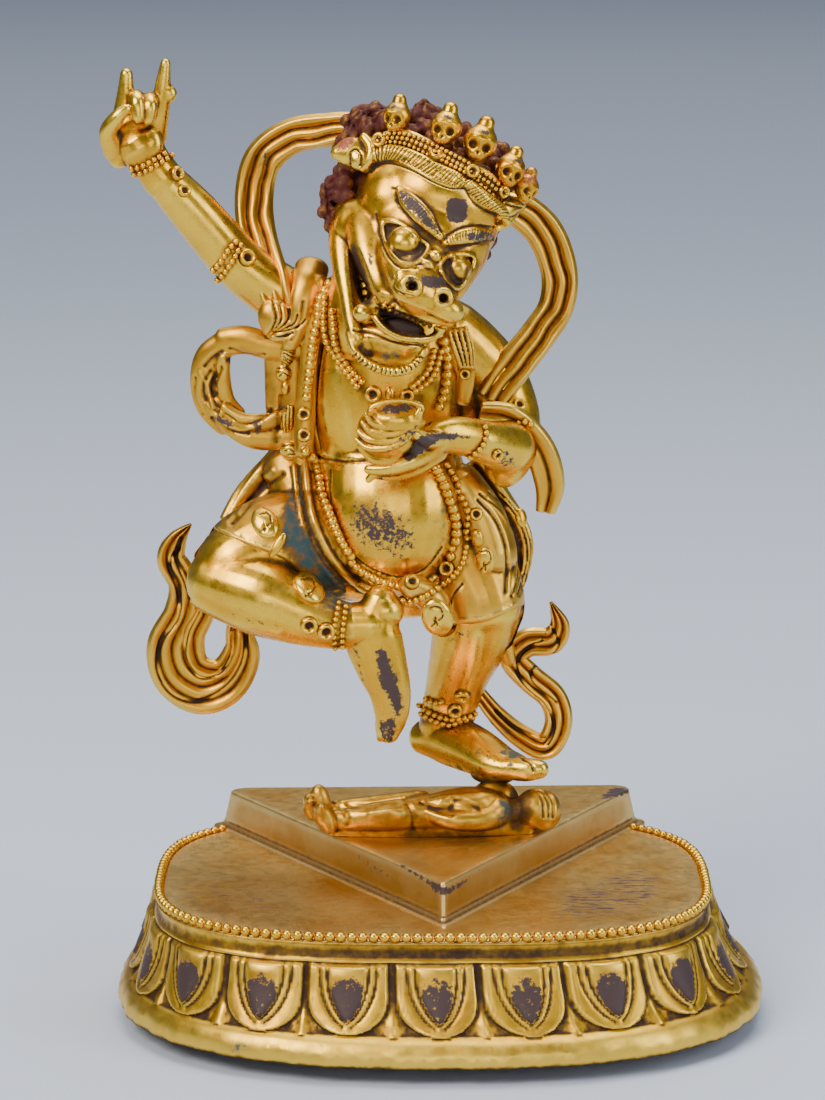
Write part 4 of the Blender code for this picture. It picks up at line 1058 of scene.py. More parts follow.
def head():
    s = headSpace
    up = (0, 0, 1)
    broadForms = [
        ball(s, (0.4, 1.0, 4.2), (12.6, 12.6, 12.8), segments=48),
        ball(s, (2.4, -4.5, -0.5), (10.9, 9.2, 10.4), segments=40),
        ball(s, (1.4, -3.8, 6.2), (10.8, 9.4, 8.0), segments=40),
        ball(s, (-4.4, -4.6, 3.0), (6.8, 6.6, 7.6), -14, segments=36),
        limb(s, [(-2, 1, -8), (-1, 2, -18)], [(8.4, 7), (7.6, 6.6)]),
        # muzzle, and the long ridge from the cheek to the lip
        limb(s, alongFace([(418, 256, 8.0), (421, 278, 13.0), (425, 298, 16.2)]),
             [(8.0, 5.6), (7.4, 4.6), (6.5, 3.6)], facing=up),
        ball(s, onFace(396, 288, 13.6), (3.0, 2.6, 2.6)),
        ball(s, onFace(356, 224, 4.4), (3.9, 3.2, 4.4), -10),
        limb(s, alongFace([(364, 214, 4.6), (367, 232, 7.0), (371, 256, 9.6), (380, 279, 12.0),
                           (391, 297, 14.2)]), [(3.6, 3.0), (3.6, 3.0), (3.1, 2.6), (2.7, 2.3), (2.1, 1.8)]),
        limb(s, alongFace([(468, 246, 5.5), (464, 268, 8.0), (452, 290, 11.2)]), [2.6, 2.6, 2.2]),
        ball(s, onFace(445, 309, 16.6), (3.4, 2.8, 2.4), -6),
    ]
    core = fused("broadForms", broadForms, 0.40, 12)
    tree = skinTree([core])
    lumps = [
        core,
        limb(s, alongFace([(381, 299, 13.4), (403, 307, 15.8), (428, 317, 17.2), (449, 321, 16.2)]),
             [0.8, 0.85, 0.9, 1.0]),
        # jaw: from the ear down to the chin
        limb(s, alongFace([(354, 211, 2.0), (346, 238, 3.6), (345, 266, 5.4), (348, 295, 7.4),
                           (352, 322, 9.4), (358, 342, 10.6)]),
             [(3.3, 2.7), (3.0, 2.6), (2.2, 2.1), (1.6, 1.7), (1.4, 1.5), 1.3]),
        ball(s, onFace(388, 343, 6.8), (7.1, 5.2, 4.7), -15, segments=36),
        ball(s, onFace(366, 345, 9.6), (2.6, 2.0, 2.4)),
        limb(s, alongFace([(350, 334, 10.2), (356, 351, 11.0), (372, 365, 11.8), (393, 371, 12.0),
                           (411, 367, 11.6), (425, 350, 11.2)]), [0.9, 0.9, 0.95, 0.95, 0.85, 0.7]),
        limb(s, alongFace([(376, 318, 12.2), (386, 329, 12.8), (400, 337, 13.4), (415, 340, 13.8),
                           (431, 338, 14.2), (442, 329, 14.8)]), [0.7, 0.75, 0.7, 0.7, 0.7, 0.7]),
        ball(s, onFace(404, 326, 11.0), (3.6, 2.6, 1.3), -10),
        ball(s, onFace(363, 313, 11.4), 1.65), ball(s, onFace(373, 302, 13.2), 1.2),
        # knobs and a fold over the nose, and the eyeballs
        ball(s, onSkin(tree, 439, 236, 0.2), 0.8), ball(s, onSkin(tree, 435, 256, 0.3), 1.05),
        ball(s, onSkin(tree, 427, 264, 0.2), (1.3, 0.8, 0.7)),
        ball(s, onSkin(tree, 404, 243, -0.2), (2.8, 2.5, 2.8)),
        ball(s, onSkin(tree, 457, 269, -0.2), (2.5, 2.3, 2.5)),
    ]
    for lids in (((382, 221), (392, 221), (403, 226), (414, 235), (423, 243), (428, 247), (423, 257),
                  (413, 263), (400, 261), (390, 251), (384, 236)),
                 ((440, 266), (447, 257), (458, 254), (468, 255), (474, 258), (472, 270), (465, 282),
                  (457, 288), (449, 284), (443, 276))):
        ring = [onSkin(tree, px, py, 0.15) for px, py in lids + lids[:1]]
        lumps.append(limb(s, ring, [0.48] * len(ring), sides=12, perSpan=4))
    for px, py, wide in ((411, 286, 1.45), (443, 298, 1.2)):
        middle = onSkin(tree, px, py, 0.1)
        lumps.append(limb(s, loopPoints(middle, (wide, 1.25), 0, 10), [0.6] * 11, sides=12, perSpan=3))
    # brows, shaped as leaves
    for path, sizes in (([(398, 189, 0.1), (409, 202, 0.35), (425, 219, 0.35), (438, 236, 0.2)],
                         [(0.4, 0.4), (1.5, 0.95), (1.55, 0.95), (0.6, 0.6)]),
                        ([(446, 243, 0.2), (460, 237, 0.35), (478, 234, 0.35), (492, 233, 0.2)],
                         [(0.5, 0.5), (1.25, 0.95), (1.25, 0.95), (0.4, 0.4)])):
        lumps.append(limb(s, alongSkin(tree, path), sizes))
    # hair fringe in two arcs that meet in a cusp
    for path, sizes in (([(366, 168, 4.2), (377, 156, 5.4), (393, 153, 6.8), (415, 160, 9.2),
                          (436, 171, 10.8),
                          (455, 179, 11.4), (467, 185, 11.2)],
                         [(0.9, 0.9), (1.4, 1.1), (1.5, 1.1), (1.5, 1.1), (1.45, 1.0), (1.3, 1.0),
                          (0.7, 0.7)]),
                        ([(470, 184, 11.2), (481, 196, 10.4), (492, 204, 9.0), (502, 212, 6.8),
                          (507, 222, 5.0)],
                         [(0.8, 0.8), (1.2, 1.0), (1.2, 1.0), (1.1, 0.9), (0.7, 0.7)])):
        lumps.append(limb(s, alongFace(path), sizes))
    for k in range(1, 11):  # upper teeth
        t = k / 10
        lumps.append(ball(s, onFace(378 + 58 * t, 304 + 24 * t,
            14.0 + 2.4 * math.sin(math.pi * (0.15 + 0.75 * t))), (0.45, 0.5, 0.6), segments=10))
    for k in range(6):  # side teeth in the open corner
        t = k / 5
        lumps.append(ball(s, onFace(359 + 7 * t, 262 + 38 * t, 8.4 + 3.4 * t), 0.5, segments=10))
    return fused("head", lumps, 0.215, 2)


face = head()
leftBrow = [(401, 195), (413, 206), (428, 220), (438, 235)]
rightBrow = [(446, 242), (460, 236), (477, 233), (494, 236)]
drawn(face,
    sunk=[
        ([(409, 286), (411, 283), (414, 283), (416, 286), (414, 289), (410, 289)], 1.3, 1.3),  # nostrils
        ([(440, 298), (442, 295), (446, 296), (447, 299), (444, 302), (441, 301)], 1.3, 1.3),
        ([(380, 311), (392, 310), (410, 318), (428, 327), (435, 332), (420, 334), (396, 330), (382, 319)],
         3.5, 2.4),
        ([(351, 250), (356, 249), (362, 262), (368, 280), (371, 296), (364, 300), (356, 288), (352, 268)],
         3.5, 1.4),
    ],
    areas=[
        ([(356, 338), (376, 342), (400, 348), (420, 352), (410, 361), (392, 366), (370, 359), (359, 348)],
         6, -0.5),
        ([(385, 226), (400, 226), (414, 236), (425, 246), (413, 260), (401, 259), (392, 249), (386, 236)],
         2, -0.35),
        ([(443, 266), (450, 258), (468, 257), (471, 262), (463, 281), (457, 284), (447, 276)], 2, -0.35),
        ([(378, 310), (392, 316), (410, 326), (428, 334), (404, 332), (386, 324)], 4, -0.2),
    ],
    lines=[
        (leftBrow, 4.5, -0.12), (rightBrow, 4, -0.12),
        ([(393, 188), (406, 192), (422, 204), (434, 218), (442, 232)], 1.6, -0.20),
        ([(396, 200), (406, 214), (422, 230), (436, 240)], 1.6, -0.22),
        ([(447, 235), (462, 227), (480, 225), (497, 228)], 1.6, -0.20),
        ([(449, 249), (464, 247), (480, 243), (496, 239)], 1.6, -0.20),
        ([(379, 224), (381, 240), (388, 257), (400, 267), (416, 268)], 2.2, -0.25),  # under the eyes
        ([(438, 270), (446, 283), (457, 292)], 2.0, -0.22),
        # folds over the muzzle
        ([(396, 276), (393, 286), (400, 293), (413, 296)], 1.8, -0.30),
        ([(398, 272), (412, 268), (430, 267), (446, 276), (456, 292)], 2.2, 0.16),
        ([(380, 292), (400, 299), (425, 309), (449, 321)], 3.0, 0.14),
        ([(378, 305), (402, 313), (428, 323), (447, 329)], 1.6, -0.25),
        # third eye
        ([(448, 214), (452, 220), (460, 221), (465, 215)], 1.6, -0.16),
        # hairline
        ([(371, 172), (378, 165), (392, 163), (412, 170), (432, 181), (450, 188), (465, 188)], 1.8, -0.35),
        ([(466, 189), (474, 202), (486, 211), (498, 216), (502, 226)], 1.8, -0.32),
        # jaw fold under the ear
        ([(376, 214), (379, 234), (380, 246)], 2.4, -0.18),
        ([(354, 330), (372, 333), (396, 342), (424, 345)], 2.4, -0.4),
    ]
    + hatched([(368, 166), (377, 155), (393, 152), (415, 160), (436, 171), (455, 179), (466, 184)], 14, 3.4,
              24, 1.1, -0.24)
    + hatched([(471, 187), (481, 196), (492, 204), (502, 212), (506, 220)], 12, 3.3, 24, 1.1, -0.22)
    + hatched(leftBrow, 9, 3.2, 12, 1.2, -0.12) + hatched(rightBrow, 8, 3.2, 12, 1.2, -0.12)
    + hatched([(352, 352), (368, 366), (392, 372), (414, 366), (424, 354)], 5, 5.2, 0, 1.6, -0.3))
paintAreas(face, "worn", [
    ([(399, 190), (414, 196), (436, 222), (440, 236), (428, 228), (402, 204)], 4, 0.72),
    ([(462, 234), (480, 230), (496, 234), (494, 242), (470, 242)], 4, 0.66),
    ([(446, 199), (458, 198), (467, 202), (466, 220), (456, 223), (447, 218)], 3, 0.95),
    ([(421, 276), (440, 276), (446, 286), (436, 288), (424, 286)], 3, 0.95),
    ([(404, 278), (412, 275), (418, 281), (410, 284)], 3, 0.6),
    ([(380, 311), (392, 309), (412, 318), (430, 330), (416, 334), (394, 330)], 4, 0.75),
    ([(366, 252), (372, 252), (376, 264), (371, 268)], 3, 0.55),
])
# painted shade: crescents round the eyeballs, inside the open mouth and its corner, under the chin and in the
# nostrils
paintAreas(face, "dirtAndShade", [
    ([(384, 236), (390, 250), (400, 260), (413, 262), (423, 256), (427, 247), (419, 244), (416, 254),
      (404, 258), (393, 251), (389, 238)], 2.4, 1.0),
    ([(442, 266), (446, 279), (456, 287), (465, 281), (471, 266), (467, 266), (462, 279), (455, 282),
      (448, 275), (446, 265)], 2.4, 1.0),
    ([(380, 308), (392, 308), (412, 316), (434, 328), (432, 337), (400, 336), (380, 322)], 4, 1.0),
    ([(349, 246), (357, 246), (372, 290), (372, 304), (362, 304), (352, 280)], 4, 1.0),
    ([(350, 334), (396, 346), (424, 350), (410, 366), (380, 368), (354, 348)], 10, 0.26),
    ([(408, 282), (416, 281), (418, 290), (409, 290)], 2, 1.0),
    ([(438, 295), (446, 294), (449, 302), (440, 303)], 2, 1.0),
])
paintAreas(face, "verdigris", [([(378, 352), (396, 350), (400, 358), (384, 362)], 5, 0.8)])
soiledAndShaded(face, fine=(5, 0.060), broad=(44, 0.19))
keep(face, "animal_head", burnished)


# Ears, hair and the crown of skulls
backCurls = {  # rows of curls round the back, from the neck to the crown
    "rows": 16, "lowest": -64, "highest": 80, "mostInRow": 28, "from": -8, "turn": 196,  # degrees
    "middle": (-2.0, 5.0, 3.4), "radii": (14.2, 9.2, 14.0),
}


def hair():
    s = headSpace
    lumps = [ball(s, (-1.6, 4.6, 6.6), (14.6, 9.8, 13.2), segments=40),
             ball(s, (-2.0, 6.0, -5), (10.0, 7.6, 11.0), segments=36)]
    (x, y, z), (wide, deep, tall) = backCurls["middle"], backCurls["radii"]
    for row, rise in enumerate(np.linspace(backCurls["lowest"], backCurls["highest"], backCurls["rows"])):
        ringSize = math.cos(math.radians(rise))
        count = max(4, round(backCurls["mostInRow"] * ringSize))
        for k in range(count):
            a = math.radians(backCurls["from"] + backCurls["turn"] * (k + 0.5 * (row % 2)) / count)
            place = (x + wide * ringSize * math.cos(a), y + deep * ringSize * math.sin(a),
                     z + tall * math.sin(math.radians(rise)))
            lumps.append(ball(s, place, (chance.uniform(0.9, 1.5), 1.4, chance.uniform(1.0, 1.6)),
                              chance.uniform(-40, 40), segments=12))
    for px, py, near in ((333, 176, 1.0), (331, 192, 1.4), (329, 207, 1.4), (334, 219, 1.8), (342, 186, 3.0),
                         (344, 200, 3.4), (351, 123, 0.5), (362, 114, 0.5),
                         (375, 108, 0.0), (419, 109, 0.5), (432, 114, 0.0), (366, 126, 3.0), (382, 121, 3.0),
                         (424, 126, 4.0), (353, 134, 2.0), (462, 130, 0.5),
                         (500, 154, 0.0), (517, 172, -0.5), (345, 226, 0.6), (372, 134, 3.6), (390, 126, 4.0),
                         (408, 130, 5.0), (428, 140, 6.2),
                         (446, 150, 7.0), (466, 160, 7.0), (484, 170, 6.4), (500, 182, 5.0), (342, 146, 1.0),
                         (346, 166, 2.6), (400, 112, 2.0), (440, 122, 2.4), (358, 122, 2.6), (372, 116, 1.0),
                         (420, 118, 2.0), (430, 120, 1.0), (464, 142, 4.0), (497, 168, 4.6), (492, 158, 2.0),
                         (508, 180, 3.0), (505, 168, 1.0), (384, 112, 0.5), (412, 118, 1.5), (350, 140, 2.0)):
        for k in range(4):
            spot = onFace(px + chance.uniform(-6, 6), py + chance.uniform(-6, 6),
                          near + chance.uniform(-0.4, 0.4))
            lumps.append(ball(s, spot, (chance.uniform(0.8, 1.3), 1.2, chance.uniform(0.9, 1.4)),
                              chance.uniform(-40, 40), segments=12))
    return fused("hair", lumps, 0.28, 1)


curls = hair()
drawn(curls, lines=[
    ([(332 + 0.4 * k, 166 + 7 * k), (326 + 0.5 * k, 170 + 7 * k), (324 + k, 176 + 7 * k)], 2.2, -0.35)
    for k in range(8)]
    + [([(348 + 9 * k, 128 - 2 * k), (352 + 9 * k, 118 - 2 * k), (360 + 9 * k, 112 - 1.2 * k)], 2.2, -0.35)
       for k in range(9)])
points, _ = shapeOf(curls)
paint(curls, "redPaint", np.full(len(points), 0.66))  # red-brown all over
paintAreas(curls, "redPaint", [([(322, 160), (350, 160), (352, 225), (322, 225)], 8, 0.80),
    ([(340, 118), (420, 96), (430, 120), (350, 140)], 8, 0.70)])
soiledAndShaded(curls, fine=(5, 0.05), broad=(30, 0.16))
keep(curls, "hair", hairRed)


def ears():
    s = headSpace
    ear = onFace(353, 152, 3.6)
    lumps = [
        ball(s, ear, (3.2, 1.7, 2.6), -30), ball(s, onFace(342, 153, 3.4), (2.0, 1.4, 1.5), -25),
        ball(s, onFace(360, 160, 4.2), (2.0, 1.6, 2.0)),
        limb(s, alongFace([(364, 137, 4.6), (371, 147, 5.2), (370, 159, 5.4), (363, 168, 5.0)]),
             [0.8, 1.0, 1.0, 0.8], sides=14),
        limb(s, alongFace([(498, 214, 6.0), (510, 206, 4.0), (521, 204, 2.0)]),
             [(1.2, 0.8), (1.7, 1.0), (0.9, 0.7)]),
        limb(s, alongFace([(497, 228, 5.0), (506, 222, 3.4), (516, 212, 1.6)]),
             [(0.7, 0.6), (1.0, 0.7), (0.7, 0.6)]),
        # diadem band under its chains of small beads
        limb(s, alongFace([(374, 146, 4.4), (388, 139, 5.4), (406, 138, 6.6), (426, 147, 8.2),
                           (446, 158, 9.4), (468, 169, 9.6), (488, 181, 8.4), (504, 195, 6.0)]),
             [(0.9, 0.7)] + [(1.5, 0.7)] * 6 + [(0.8, 0.6)]),
    ]
    for k in range(9):  # the band goes on round the back
        a = math.radians(20 + 17.5 * k)
        lumps.append(ball(s, (-0.6 + 14.6 * math.cos(a), 3.0 + 11.0 * math.sin(a), 12.6 - 1.2 * math.sin(a)),
                          (2.2, 1.6, 1.7), segments=16))
    return fused("crownBand", lumps, 0.24, 3)


crownBand = ears()
drawn(crownBand, lines=[
    ([(511, 199), (519, 200), (524, 204)], 1.6, -0.3), ([(505, 203), (514, 206), (522, 208)], 1.6, -0.3),
    ([(350, 164), (350, 154), (355, 149), (361, 154), (360, 166)], 1.7, -0.42)])
# painted shade on the band under its chains of small beads
paintAreas(crownBand, "dirtAndShade", [([(372, 142), (392, 132), (420, 136), (470, 160), (510, 194), (504, 202),
    (468, 178), (420, 156), (392, 148)], 3, 0.8)])
paintAreas(crownBand, "redPaint", [([(338, 140), (354, 135), (352, 147), (336, 153)], 5, 0.85)])
soiledAndShaded(crownBand, fine=(5, 0.035), broad=(30, 0.12))
keep(crownBand, "diadem_and_ears", burnished)


def skullPattern():
    # eye holes, a nose hole and a small knob on top
    unitSpace = Matrix.Identity(4)
    lumps = [ball(unitSpace, (0, 0, 0.06), (1.0, 0.92, 1.0), segments=28),
             ball(unitSpace, (0, -0.22, -0.62), (0.62, 0.62, 0.50)),
             limb(unitSpace, [(0, 0.1, 0.8), (0, 0.06, 1.04), (0, 0.05, 1.18)], [0.64, 0.52, 0.50], sides=16)]
    piece = joined("skullPattern", lumps)
    finishedBy(piece, "REMESH", mode="VOXEL", voxel_size=0.085, adaptivity=0)
    finishedBy(piece, "SMOOTH", factor=0.5, iterations=3)
    points, _ = shapeOf(piece)
    across, up = points[:, 0], points[:, 2]
    holes = np.zeros(len(points))
    eyeAndNoseHoles = ((-0.4, -0.22, 0.28, 0.40), (0.4, -0.22, 0.28, 0.40), (0, -0.62, 0.14, 0.20))
    for x, z, size, depth in eyeAndNoseHoles:
        gap = np.hypot(across - x, up - z) / size
        share = eased(np.clip(1.25 - gap, 0, 1)) * (points[:, 1] < 0)
        points[:, 1] += depth * share
        holes = np.maximum(holes, share)
    brows = np.exp(-((np.abs(across) - 0.42) / 0.3) ** 2 - ((up - 0.25) / 0.12) ** 2)
    points[:, 1] -= 0.10 * brows * (points[:, 1] < 0)
    # painted shade in the eye and nose holes
    paint(piece, "dirtAndShade", holes)
    forehead = np.exp(-((across - 0.1) / 0.45) ** 2 - ((up - 0.62) / 0.20) ** 2)
    paint(piece, "worn", 0.72 * forehead * (points[:, 1] < 0.1))
    reshape(piece, points)
    finishedBy(piece, "DECIMATE", ratio=0.45)
    piece.data.shade_smooth()
    return piece


crownSkulls = [  # where each is seen, its depth, its size, the way it faces and its lean
    (397, 117, 6.2, 2.4, -30, -17), (446, 128, 8.8, 2.7, -10, -12), (480, 143, 9.0, 2.9, 4, -6),
    (510, 170, 7.0, 2.6, 22, -4), (526, 188, 4.6, 2.25, 44, -4)]
skullShape = skullPattern()
places = []
for px, py, near, size, turn, lean in crownSkulls:
    spun = Matrix.Rotation(math.radians(lean), 4, "Y") @ Matrix.Rotation(math.radians(turn), 4, "Z")
    place = Matrix.Translation(onFace(px, py, near)) @ spun @ Matrix.Scale(size, 4)
    places.append(headSpace @ place)
crown = strewn("crownSkulls", skullShape, places)
paintAreas(crown, "redPaint", [([(520, 168), (540, 168), (540, 186), (520, 186)], 6, 0.6)])
paintAreas(crown, "verdigris", [([(392, 100), (412, 100), (412, 112), (392, 112)], 6, 0.42)])
keep(crown, "crown_skulls", burnished)
print("head and crown done")


# The scarf: two loops from behind the head, one beside the chest, and two curling tails
def scarf():
    s = figureSpace
    loops = [
        band(s, [(-13, 3, 113.4), (-18, 4.4, 113.0), (-25, 6.6, 111.6), (-30.0, 7.4, 107.6),
                 (-31.6, 7, 101.4), (-31.0, 4, 95), (-28.6, -1, 88), (-26.2, -3.4, 81.6)],
             [5.4, 5.8, 6.2, 6.6, 6.7, 6.6, 6.4, 5.6], 1.25, 3, perSpan=16, drift=0.35,
             curl=0.25, fineness=14),
        band(s, [(9.6, 3, 103), (13.4, 3.6, 100), (18.4, 5, 95.3), (21.0, 5.4, 88.6), (20.6, 4.4, 82.6),
                 (17.4, 2.0, 77.8), (13.0, -1.0, 72.6), (9.0, -3.4, 67)],
             [5, 6.2, 6.6, 6.4, 6.2, 6.2, 6.4, 5.6], 1.25, 3, perSpan=16, drift=0.3, curl=0.25, fineness=14),
        band(s, [(7.3, -6.6, 65.6), (12.6, -6, 64.4), (17.4, -4.4, 59), (19.4, -3.2, 52.6), (18.7, -3, 47.6)],
             [3.8, 5.0, 5.6, 5.2, 3.4], 1.2, 2, perSpan=14, curl=0.2, fineness=14),
    ]
    return joined("scarfLoops", loops)


def sideLoop():
    s = figureSpace
    lumps = [
        limb(s, [(-23.4, -1.4, 76.4), (-28, -1.0, 76.0), (-33, -0.4, 77.2), (-36.8, 0.6, 76.6)],
             [(2.5, 1.6), (2.3, 1.6), (2.5, 1.7), (2.6, 1.6)]),
        limb(s, [(-35.6, 0.4, 77.2), (-39.2, 1.4, 74.0), (-40.3, 2, 69.6), (-39.4, 2, 65.4),
                 (-36.6, 1.4, 62.2)],
             [(2.2, 1.5), (2.6, 1.6), (2.5, 1.6), (2.4, 1.6), (2.2, 1.6)]),
        limb(s, [(-36.8, -0.2, 74.4), (-36.9, 0.2, 70.4), (-36.2, 0.4, 66.6), (-34.2, 0.2, 64.4)],
             [(1.2, 1.0), (1.3, 1.1), (1.3, 1.1), (1.1, 1.0)]),
        limb(s, [(-38.8, 0.8, 66.2), (-36.0, 0, 62.8), (-31.6, -0.8, 60.4), (-26.4, -1.0, 60.4),
                 (-24.2, -1.0, 61.6)],
             [(1.6, 1.3), (2.0, 1.5), (2.2, 1.5), (2.1, 1.5), (1.8, 1.3)]),
        limb(s, [(-37.0, -0.8, 65.2), (-33.6, -1.6, 63.4), (-29.6, -2.0, 63.2), (-25.6, -2.0, 64.6)],
             [(1.2, 0.9), (1.4, 1.0), (1.5, 1.0), (1.2, 1.0)]),
        limb(s, [(-27.6, -0.5, 77), (-27.6, -0.4, 69), (-27.2, -0.4, 61)],
             [(2.3, 1.3), (2.2, 1.2), (2.3, 1.3)]),
        limb(s, [(-22.6, 1.6, 84), (-24.4, 0.8, 78), (-24.6, 0.4, 70), (-24.0, 0, 60), (-21.6, -2.4, 50)],
             [(3.6, 3.0), (3.0, 2.6), (2.8, 2.4), (3.0, 2.8), (3.0, 3.2)]),
        limb(s, alongPixels([(318, 282, -3.0), (313, 320, -4.2), (309, 370, -4.8), (305, 420, -5.0),
                             (304, 452, -6.0)]), [(1.7, 1.4), (1.8, 1.3), (1.7, 1.3), (1.9, 1.3),
                                                  (1.6, 1.3)]),
        ball(s, at(277, 321, -4.2), (3.1, 2.2, 4.0), -28),
        *[limb(s, alongPixels([(449 + 5.5 * k, 331 - k, -6.0), (455 + 5.5 * k, 350, -6.6),
                               (461 + 4 * k, 368, -6.4)]), [(0.5, 0.5), (0.55, 0.55), (0.4, 0.4)],
               sides=12) for k in range(4)],
        limb(s, alongPixels([(467, 368, -5.8), (465, 384, -5.6), (463, 402, -5.6)]),
             [(1.5, 0.7), (1.6, 0.8), (1.3, 0.7)]),
        limb(s, alongPixels([(312, 268, 0.4), (309, 282, -2.6), (303, 302, -4.4), (296, 330, -4.8),
                             (290, 345, -4.8)]),
             [(3.0, 2.0), (2.8, 1.9), (2.3, 1.5), (1.8, 1.3), (1.3, 1.1)]),
    ]
    piece = fused("sideLoop", lumps, 0.24, 3)
    fan = [([(268, 337), (276 + 5.5 * k, 318 + 2.2 * k), (272 + 8.5 * k, 299 + 5.2 * k)], 2.0, -0.42)
           for k in range(5)]
    fan += [([(452 + 5.5 * k, 333 - k), (458 + 5.0 * k, 350), (463 + 3.6 * k, 366)], 1.2, -0.45)
            for k in range(4)]
    drawn(piece, sunk=[([(226, 357), (240, 357), (252, 361), (248, 366), (230, 363)], 2.5, 0.5)],
          lines=fan + [
        ([(268, 336), (280, 338), (292, 333)], 2.6, -0.5),
        ([(211, 372), (204, 384), (206, 400), (216, 412)], 4.5, -0.35),
        ([(221, 368), (213, 384), (216, 404), (232, 420)], 5.0, -0.45),
        ([(224, 416), (240, 424), (256, 422), (270, 410)], 4.5, -0.40),
        ([(205, 366), (212, 358), (222, 352)], 4.5, -0.30),
        ([(195, 378), (194, 396), (202, 414)], 3.5, -0.25),
        ([(212, 418), (228, 430), (248, 434)], 4.0, -0.30),
        ([(230, 349), (248, 355), (264, 355)], 3.5, -0.30),
        ([(200, 372), (210, 392), (212, 408)], 3.0, 0.22), ([(226, 424), (244, 430), (262, 422)], 3.0, 0.22),
        ([(281, 396), (279, 420), (277, 442)], 4.0, -0.22),
        ([(262, 375), (262, 392), (264, 408)], 4.0, -0.2), ([(303, 302), (300, 322), (291, 340)], 3.4, -0.25),
    ])
    paintAreas(piece, "worn", [([(226, 356), (251, 360), (250, 366), (228, 363)], 4, 0.85),
        ([(216, 414), (234, 424), (230, 428), (214, 420)], 4, 0.7),
                               ([(252, 424), (260, 418), (262, 432), (254, 436)], 4, 0.6),
                               ([(268, 304), (290, 296), (286, 306)], 5, 0.5)])
    # darker areas between the side loop and the strap
    paintAreas(piece, "dirtAndShade", [([(256, 370), (276, 366), (278, 412), (258, 412)], 8, 0.34),
        ([(272, 410), (288, 396), (282, 440), (270, 444)], 6, 0.5)])
    return piece


def tails():
    s = figureSpace
    left = joined("leftTail", [
        band(s, [(-31.0, -3, 33), (-34.4, 1, 26.6), (-34.2, 3, 20.8), (-37.0, 3.6, 15.6), (-41.8, 3.6, 14),
                 (-46.4, 3.6, 17), (-47.6, 3.6, 22.6), (-45.0, 3.6, 28.4), (-44.2, 3.6, 33.6),
                 (-46.4, 3.6, 38), (-45.4, 3.6, 41.4), (-43.0, 3.6, 44.2)],
             [4.4, 4.6, 6.4, 7.2, 7.6, 7.2, 6.6, 5.8, 5.6, 5.2, 3.6, 0.6], 1.2, 3, perSpan=16, curl=0.3,
             fineness=14),
        band(s, [(-42, 2.9, 33), (-40.6, 2.9, 29), (-42.6, 2.9, 24.4), (-41.8, 2.9, 19.6), (-38.2, 2.9, 18.6),
                 (-35.8, 2.5, 22), (-35.2, 1.5, 26)],
             [2.0, 3.4, 4.0, 3.6, 3.6, 3.2, 2.4], 1.3, 2, perSpan=16, curl=0.3, fineness=16),
    ])
    drawn(left, lines=[
        ([(179, 548), (169, 565), (178, 590), (179, 619), (161.6, 640), (157.4, 668), (170, 693),
          (195, 701.5), (222.6, 689), (241.5, 664), (246.8, 634)], 3.0, -0.4),
        ([(199.4, 613), (189, 636), (184.7, 657), (199.4, 678), (218.4, 674), (231, 653), (232, 628)],
         2.6, -0.35),
        ([(181, 537), (176, 556), (184, 580), (192, 600)], 2.2, -0.45),
    ])
    right = joined("rightTail", [
        band(s, [(7.4, 5.6, 13.6), (10.6, 5.2, 9.6), (15.0, 4, 6), (19.2, 2.6, 4.6), (21.4, 3, 8.6),
                 (20.4, 4, 13), (16.4, 4, 16.6), (13.4, 4, 20.2), (16.0, 4, 23.0), (20.0, 4, 23.4),
                 (21.5, 4, 26.2), (20.0, 4, 30.2)],
             [2.6, 3.4, 4.2, 4.8, 4.9, 5.0, 5.0, 4.8, 5.2, 5.0, 3.6, 0.6], 1.2, 3, perSpan=16, curl=0.3,
             fineness=14),
        limb(s, [(10.6, 0, 28.0), (11.8, 2.4, 23.4), (12.6, 4, 20)], [1.8, 1.6, 1.6]),
    ])
    drawn(right, lines=[
        ([(549, 616), (552, 627), (558.6, 643), (551.4, 657.5), (533, 668), (532, 680.7), (541, 691.4),
          (557, 702)], 2.2, -0.3),
        ([(542.5, 640), (522, 653), (517.5, 672), (531.8, 693), (549, 709), (554, 728), (548, 744)],
         2.4, -0.35),
        ([(496, 711), (512, 726), (530, 734), (545, 738)], 2.6, -0.25),
    ])
    return joined("tails", [left, right])


loops, tube, curled = scarf(), sideLoop(), tails()
paintAreas(loops, "worn", [([(299, 262), (304, 260), (300, 282), (296, 280)], 3, 0.5),
    ([(262, 150), (272, 150), (270, 166), (260, 166)], 3, 0.45)])
paintAreas(curled, "verdigris", [([(480, 716), (500, 724), (530, 745), (520, 750), (490, 735)], 6, 0.55)])
for piece, name in ((loops, "scarf_loops"), (tube, "side_loop_and_strap"), (curled, "scarf_tails")):
    soiledAndShaded(piece, fine=(5, 0.075), broad=(26, 0.26))
    keep(piece, name, cloth)
print("scarf done")


